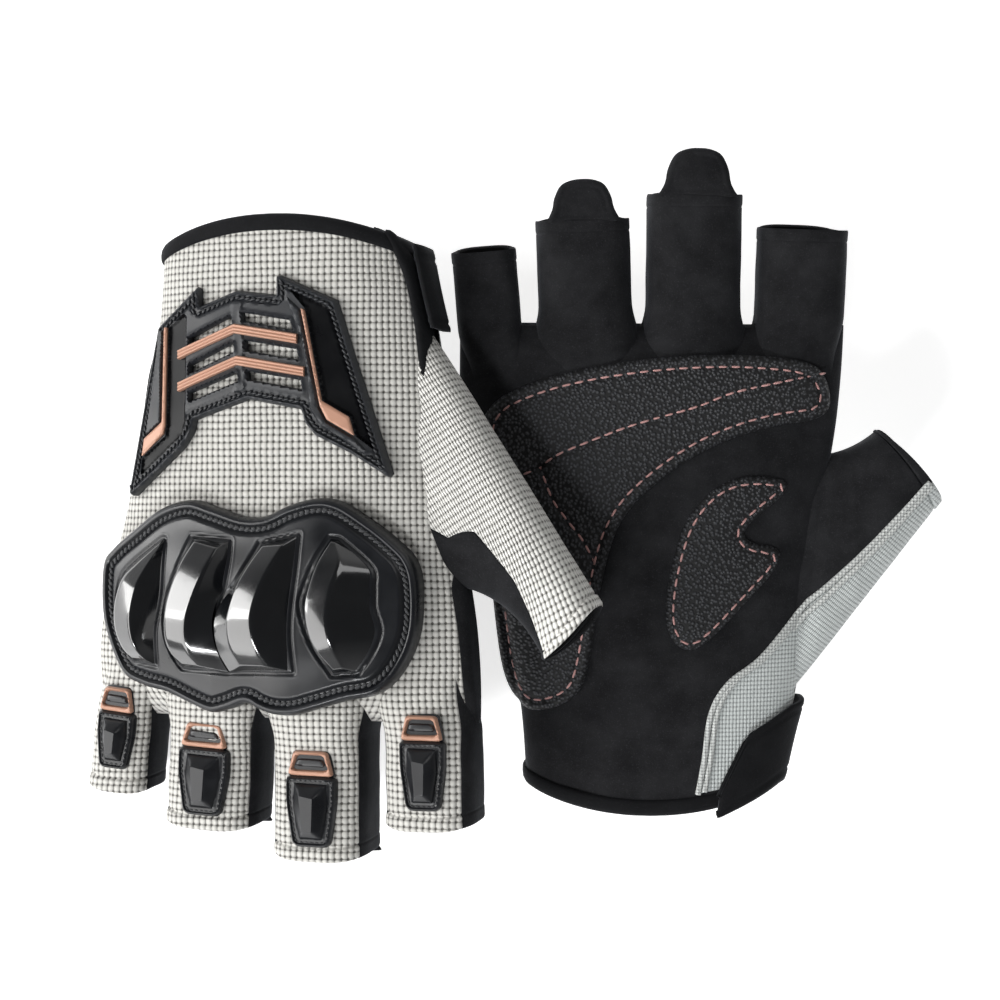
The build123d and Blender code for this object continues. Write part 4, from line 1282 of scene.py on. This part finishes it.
for glove in GLOVES:
    for name, soup, materials, slot, *replaced in HAND_PIECES:
        glove.piece(name, soup, materials, "hand", slot, replaced)
    for name, soup, materials, slot, sharp, *replaced in RIGID_PIECES:
        glove.piece(name, soup, materials, "hand", slot, replaced, sharp=sharp, anchor=0.0)
    pad = glove.piece("palm_leather", PALM_LEATHER, [LEATHER], "hand", "patch_leather",
                      ["palm_patch", "palm_foam"])
    glove.piece("strap_fabric", STRAP, [FELT], "strap", "binding", ["wrist_strap"])
    glove.piece("hook_tape", HOOK, [TAPE], "strap", "hook_loop", ["hook_pad"])
    grey_panel, black_panel = thumb_panels(glove.prefix)
    bend = [(-42, 61, 0), (-56, 66, 0)]
    # The upper glove's thumb takes the paler copy of the grey mesh, which is painted light.
    outer = SIDE if glove.prefix == "lower" else MESH_THUMB_PAINTED_LIGHT
    glove.piece("thumb_grey", grey_panel, [outer, LINING, CORD], "thumb", "grey_mesh", ["thumb_back"], bend)
    glove.piece("thumb_black", black_panel, [BLACK, LINING], "thumb", "black_microfibre",
                ["thumb_front"], bend)
    for name, (grey_strip, black_front) in STALLS.items():
        x_mid, y_web, z_low = FINGERS[name][0], FINGERS[name][4], FINGERS[name][3]
        bend = [(x_mid, y_web - 4, z_low), (x_mid, y_web + 7, z_low)]
        glove.piece(name + "_grey", grey_strip, [MESH, LINING], name, "grey_mesh", [name + "_back"], bend)
        glove.piece(name + "_black", black_front, [BLACK, LINING], name, "black_microfibre",
                    [name + "_front"], bend)
        plate, loop, seam = GUARDS[name]
        to_hand = finger_top(name)
        glove.piece(name + "_plate", plate.moved(to_hand), [BLOCK], name,
                    "trim_rubber", [name + "_guard"], sharp=30, anchor=x_mid)
        glove.piece(name + "_loop", loop.moved(to_hand), [COPPER], name, "accent_copper", sharp=40,
                    anchor=x_mid)
        glove.piece(name + "_seam", seam.moved(to_hand), [DARK_THREAD], name, "thread", anchor=x_mid)
    for name in ("ring", "middle"):
        tongue = soft_tab(name, glove.prefix == "upper")
        glove.piece(name + "_tongue", tongue, [BLACK], name + "_tab", "black_microfibre", [name + "_tab"])

for name, node in frame["nodes"].items():
    if name.endswith("knuckle_foam"):
        node.data.materials.clear()
        node.data.materials.append(FOAM)

# ---------------------------------------------------------------- floor, light and camera
CENTRE = (0, 0, 0.03)
FLOOR_HALF = 3.0
FLOOR_Z = CAD_BOX[0][2] - 0.0005


def floor():
    corners = [(-FLOOR_HALF, -FLOOR_HALF), (FLOOR_HALF, -FLOOR_HALF), (FLOOR_HALF, FLOOR_HALF),
               (-FLOOR_HALF, FLOOR_HALF)]
    mesh = bpy.data.meshes.new("floor")
    mesh.from_pydata([(x, y, FLOOR_Z) for x, y in corners], [], [(0, 1, 2, 3)])
    s = Shader("floor_white", grey(0.93), 0.9)
    s.put("Specular IOR Level", 0.1)
    s.put("Emission Color", (1, 1, 1, 1))
    s.put("Emission Strength", 0.7)
    mesh.materials.append(s.mat)
    piece = bpy.data.objects.new("floor", mesh)
    bpy.context.scene.collection.objects.link(piece)


def area_light(name, place, size, power, colour):
    light = bpy.data.lights.new(name, "AREA")
    light.shape = "RECTANGLE"
    light.size, light.size_y = size
    light.energy = power
    light.color = colour
    lamp = bpy.data.objects.new(name, light)
    lamp.location = place
    lamp.rotation_euler = (Vector(CENTRE) - Vector(place)).to_track_quat("-Z", "Y").to_euler()
    bpy.context.scene.collection.objects.link(lamp)


floor()
for name, place, size, power, colour in (
        ("key", (-0.62, -0.3, 0.4), (0.8, 0.5), 4.6, (1, 0.99, 0.98)),
        ("side", (-1.0, 0.1, 0.3), (0.3, 1.0), 6.6, (1, 0.995, 0.985)),
        ("glint", (-0.3, -0.66, 0.8), (0.26, 0.09), 4.0, (0.97, 0.985, 1)),
        ("fill", (0.45, 0.5, 0.85), (0.5, 0.5), 1.4, (1, 1, 1))):
    area_light(name, place, size, power, colour)

world = bpy.data.worlds.new("studio")
bpy.context.scene.world = world
world.use_nodes = True
sky = world.node_tree.nodes
links = world.node_tree.links
coordinate = sky.new("ShaderNodeTexCoord")
split = sky.new("ShaderNodeSeparateXYZ")
band = sky.new("ShaderNodeValToRGB")
links.new(coordinate.outputs["Generated"], split.inputs[0])
links.new(split.outputs[2], band.inputs[0])
for element, (level, value) in zip(band.color_ramp.elements, ((0.25, 0.9), (0.75, 0.12))):
    element.position = level
    element.color = (value, value, value, 1)
links.new(band.outputs[0], sky["Background"].inputs[0])
sky["Background"].inputs[1].default_value = 0.56

VIEW_WIDTH = 0.2532
VIEW_CENTRE = Vector((-0.0064, -0.0006, 0.035))
VIEW_DISTANCE = 0.45
VIEW_LEAN = math.radians(5.0)
camera = bpy.data.cameras.new("camera")
camera.lens = camera.sensor_width * VIEW_DISTANCE / VIEW_WIDTH
eye = bpy.data.objects.new("camera", camera)
eye.location = VIEW_CENTRE + VIEW_DISTANCE * Vector((-math.sin(VIEW_LEAN), 0, math.cos(VIEW_LEAN)))
eye.rotation_euler = (0, -VIEW_LEAN, 0)
bpy.context.scene.collection.objects.link(eye)
bpy.context.scene.camera = eye
bpy.context.scene.view_settings.view_transform = "Standard"
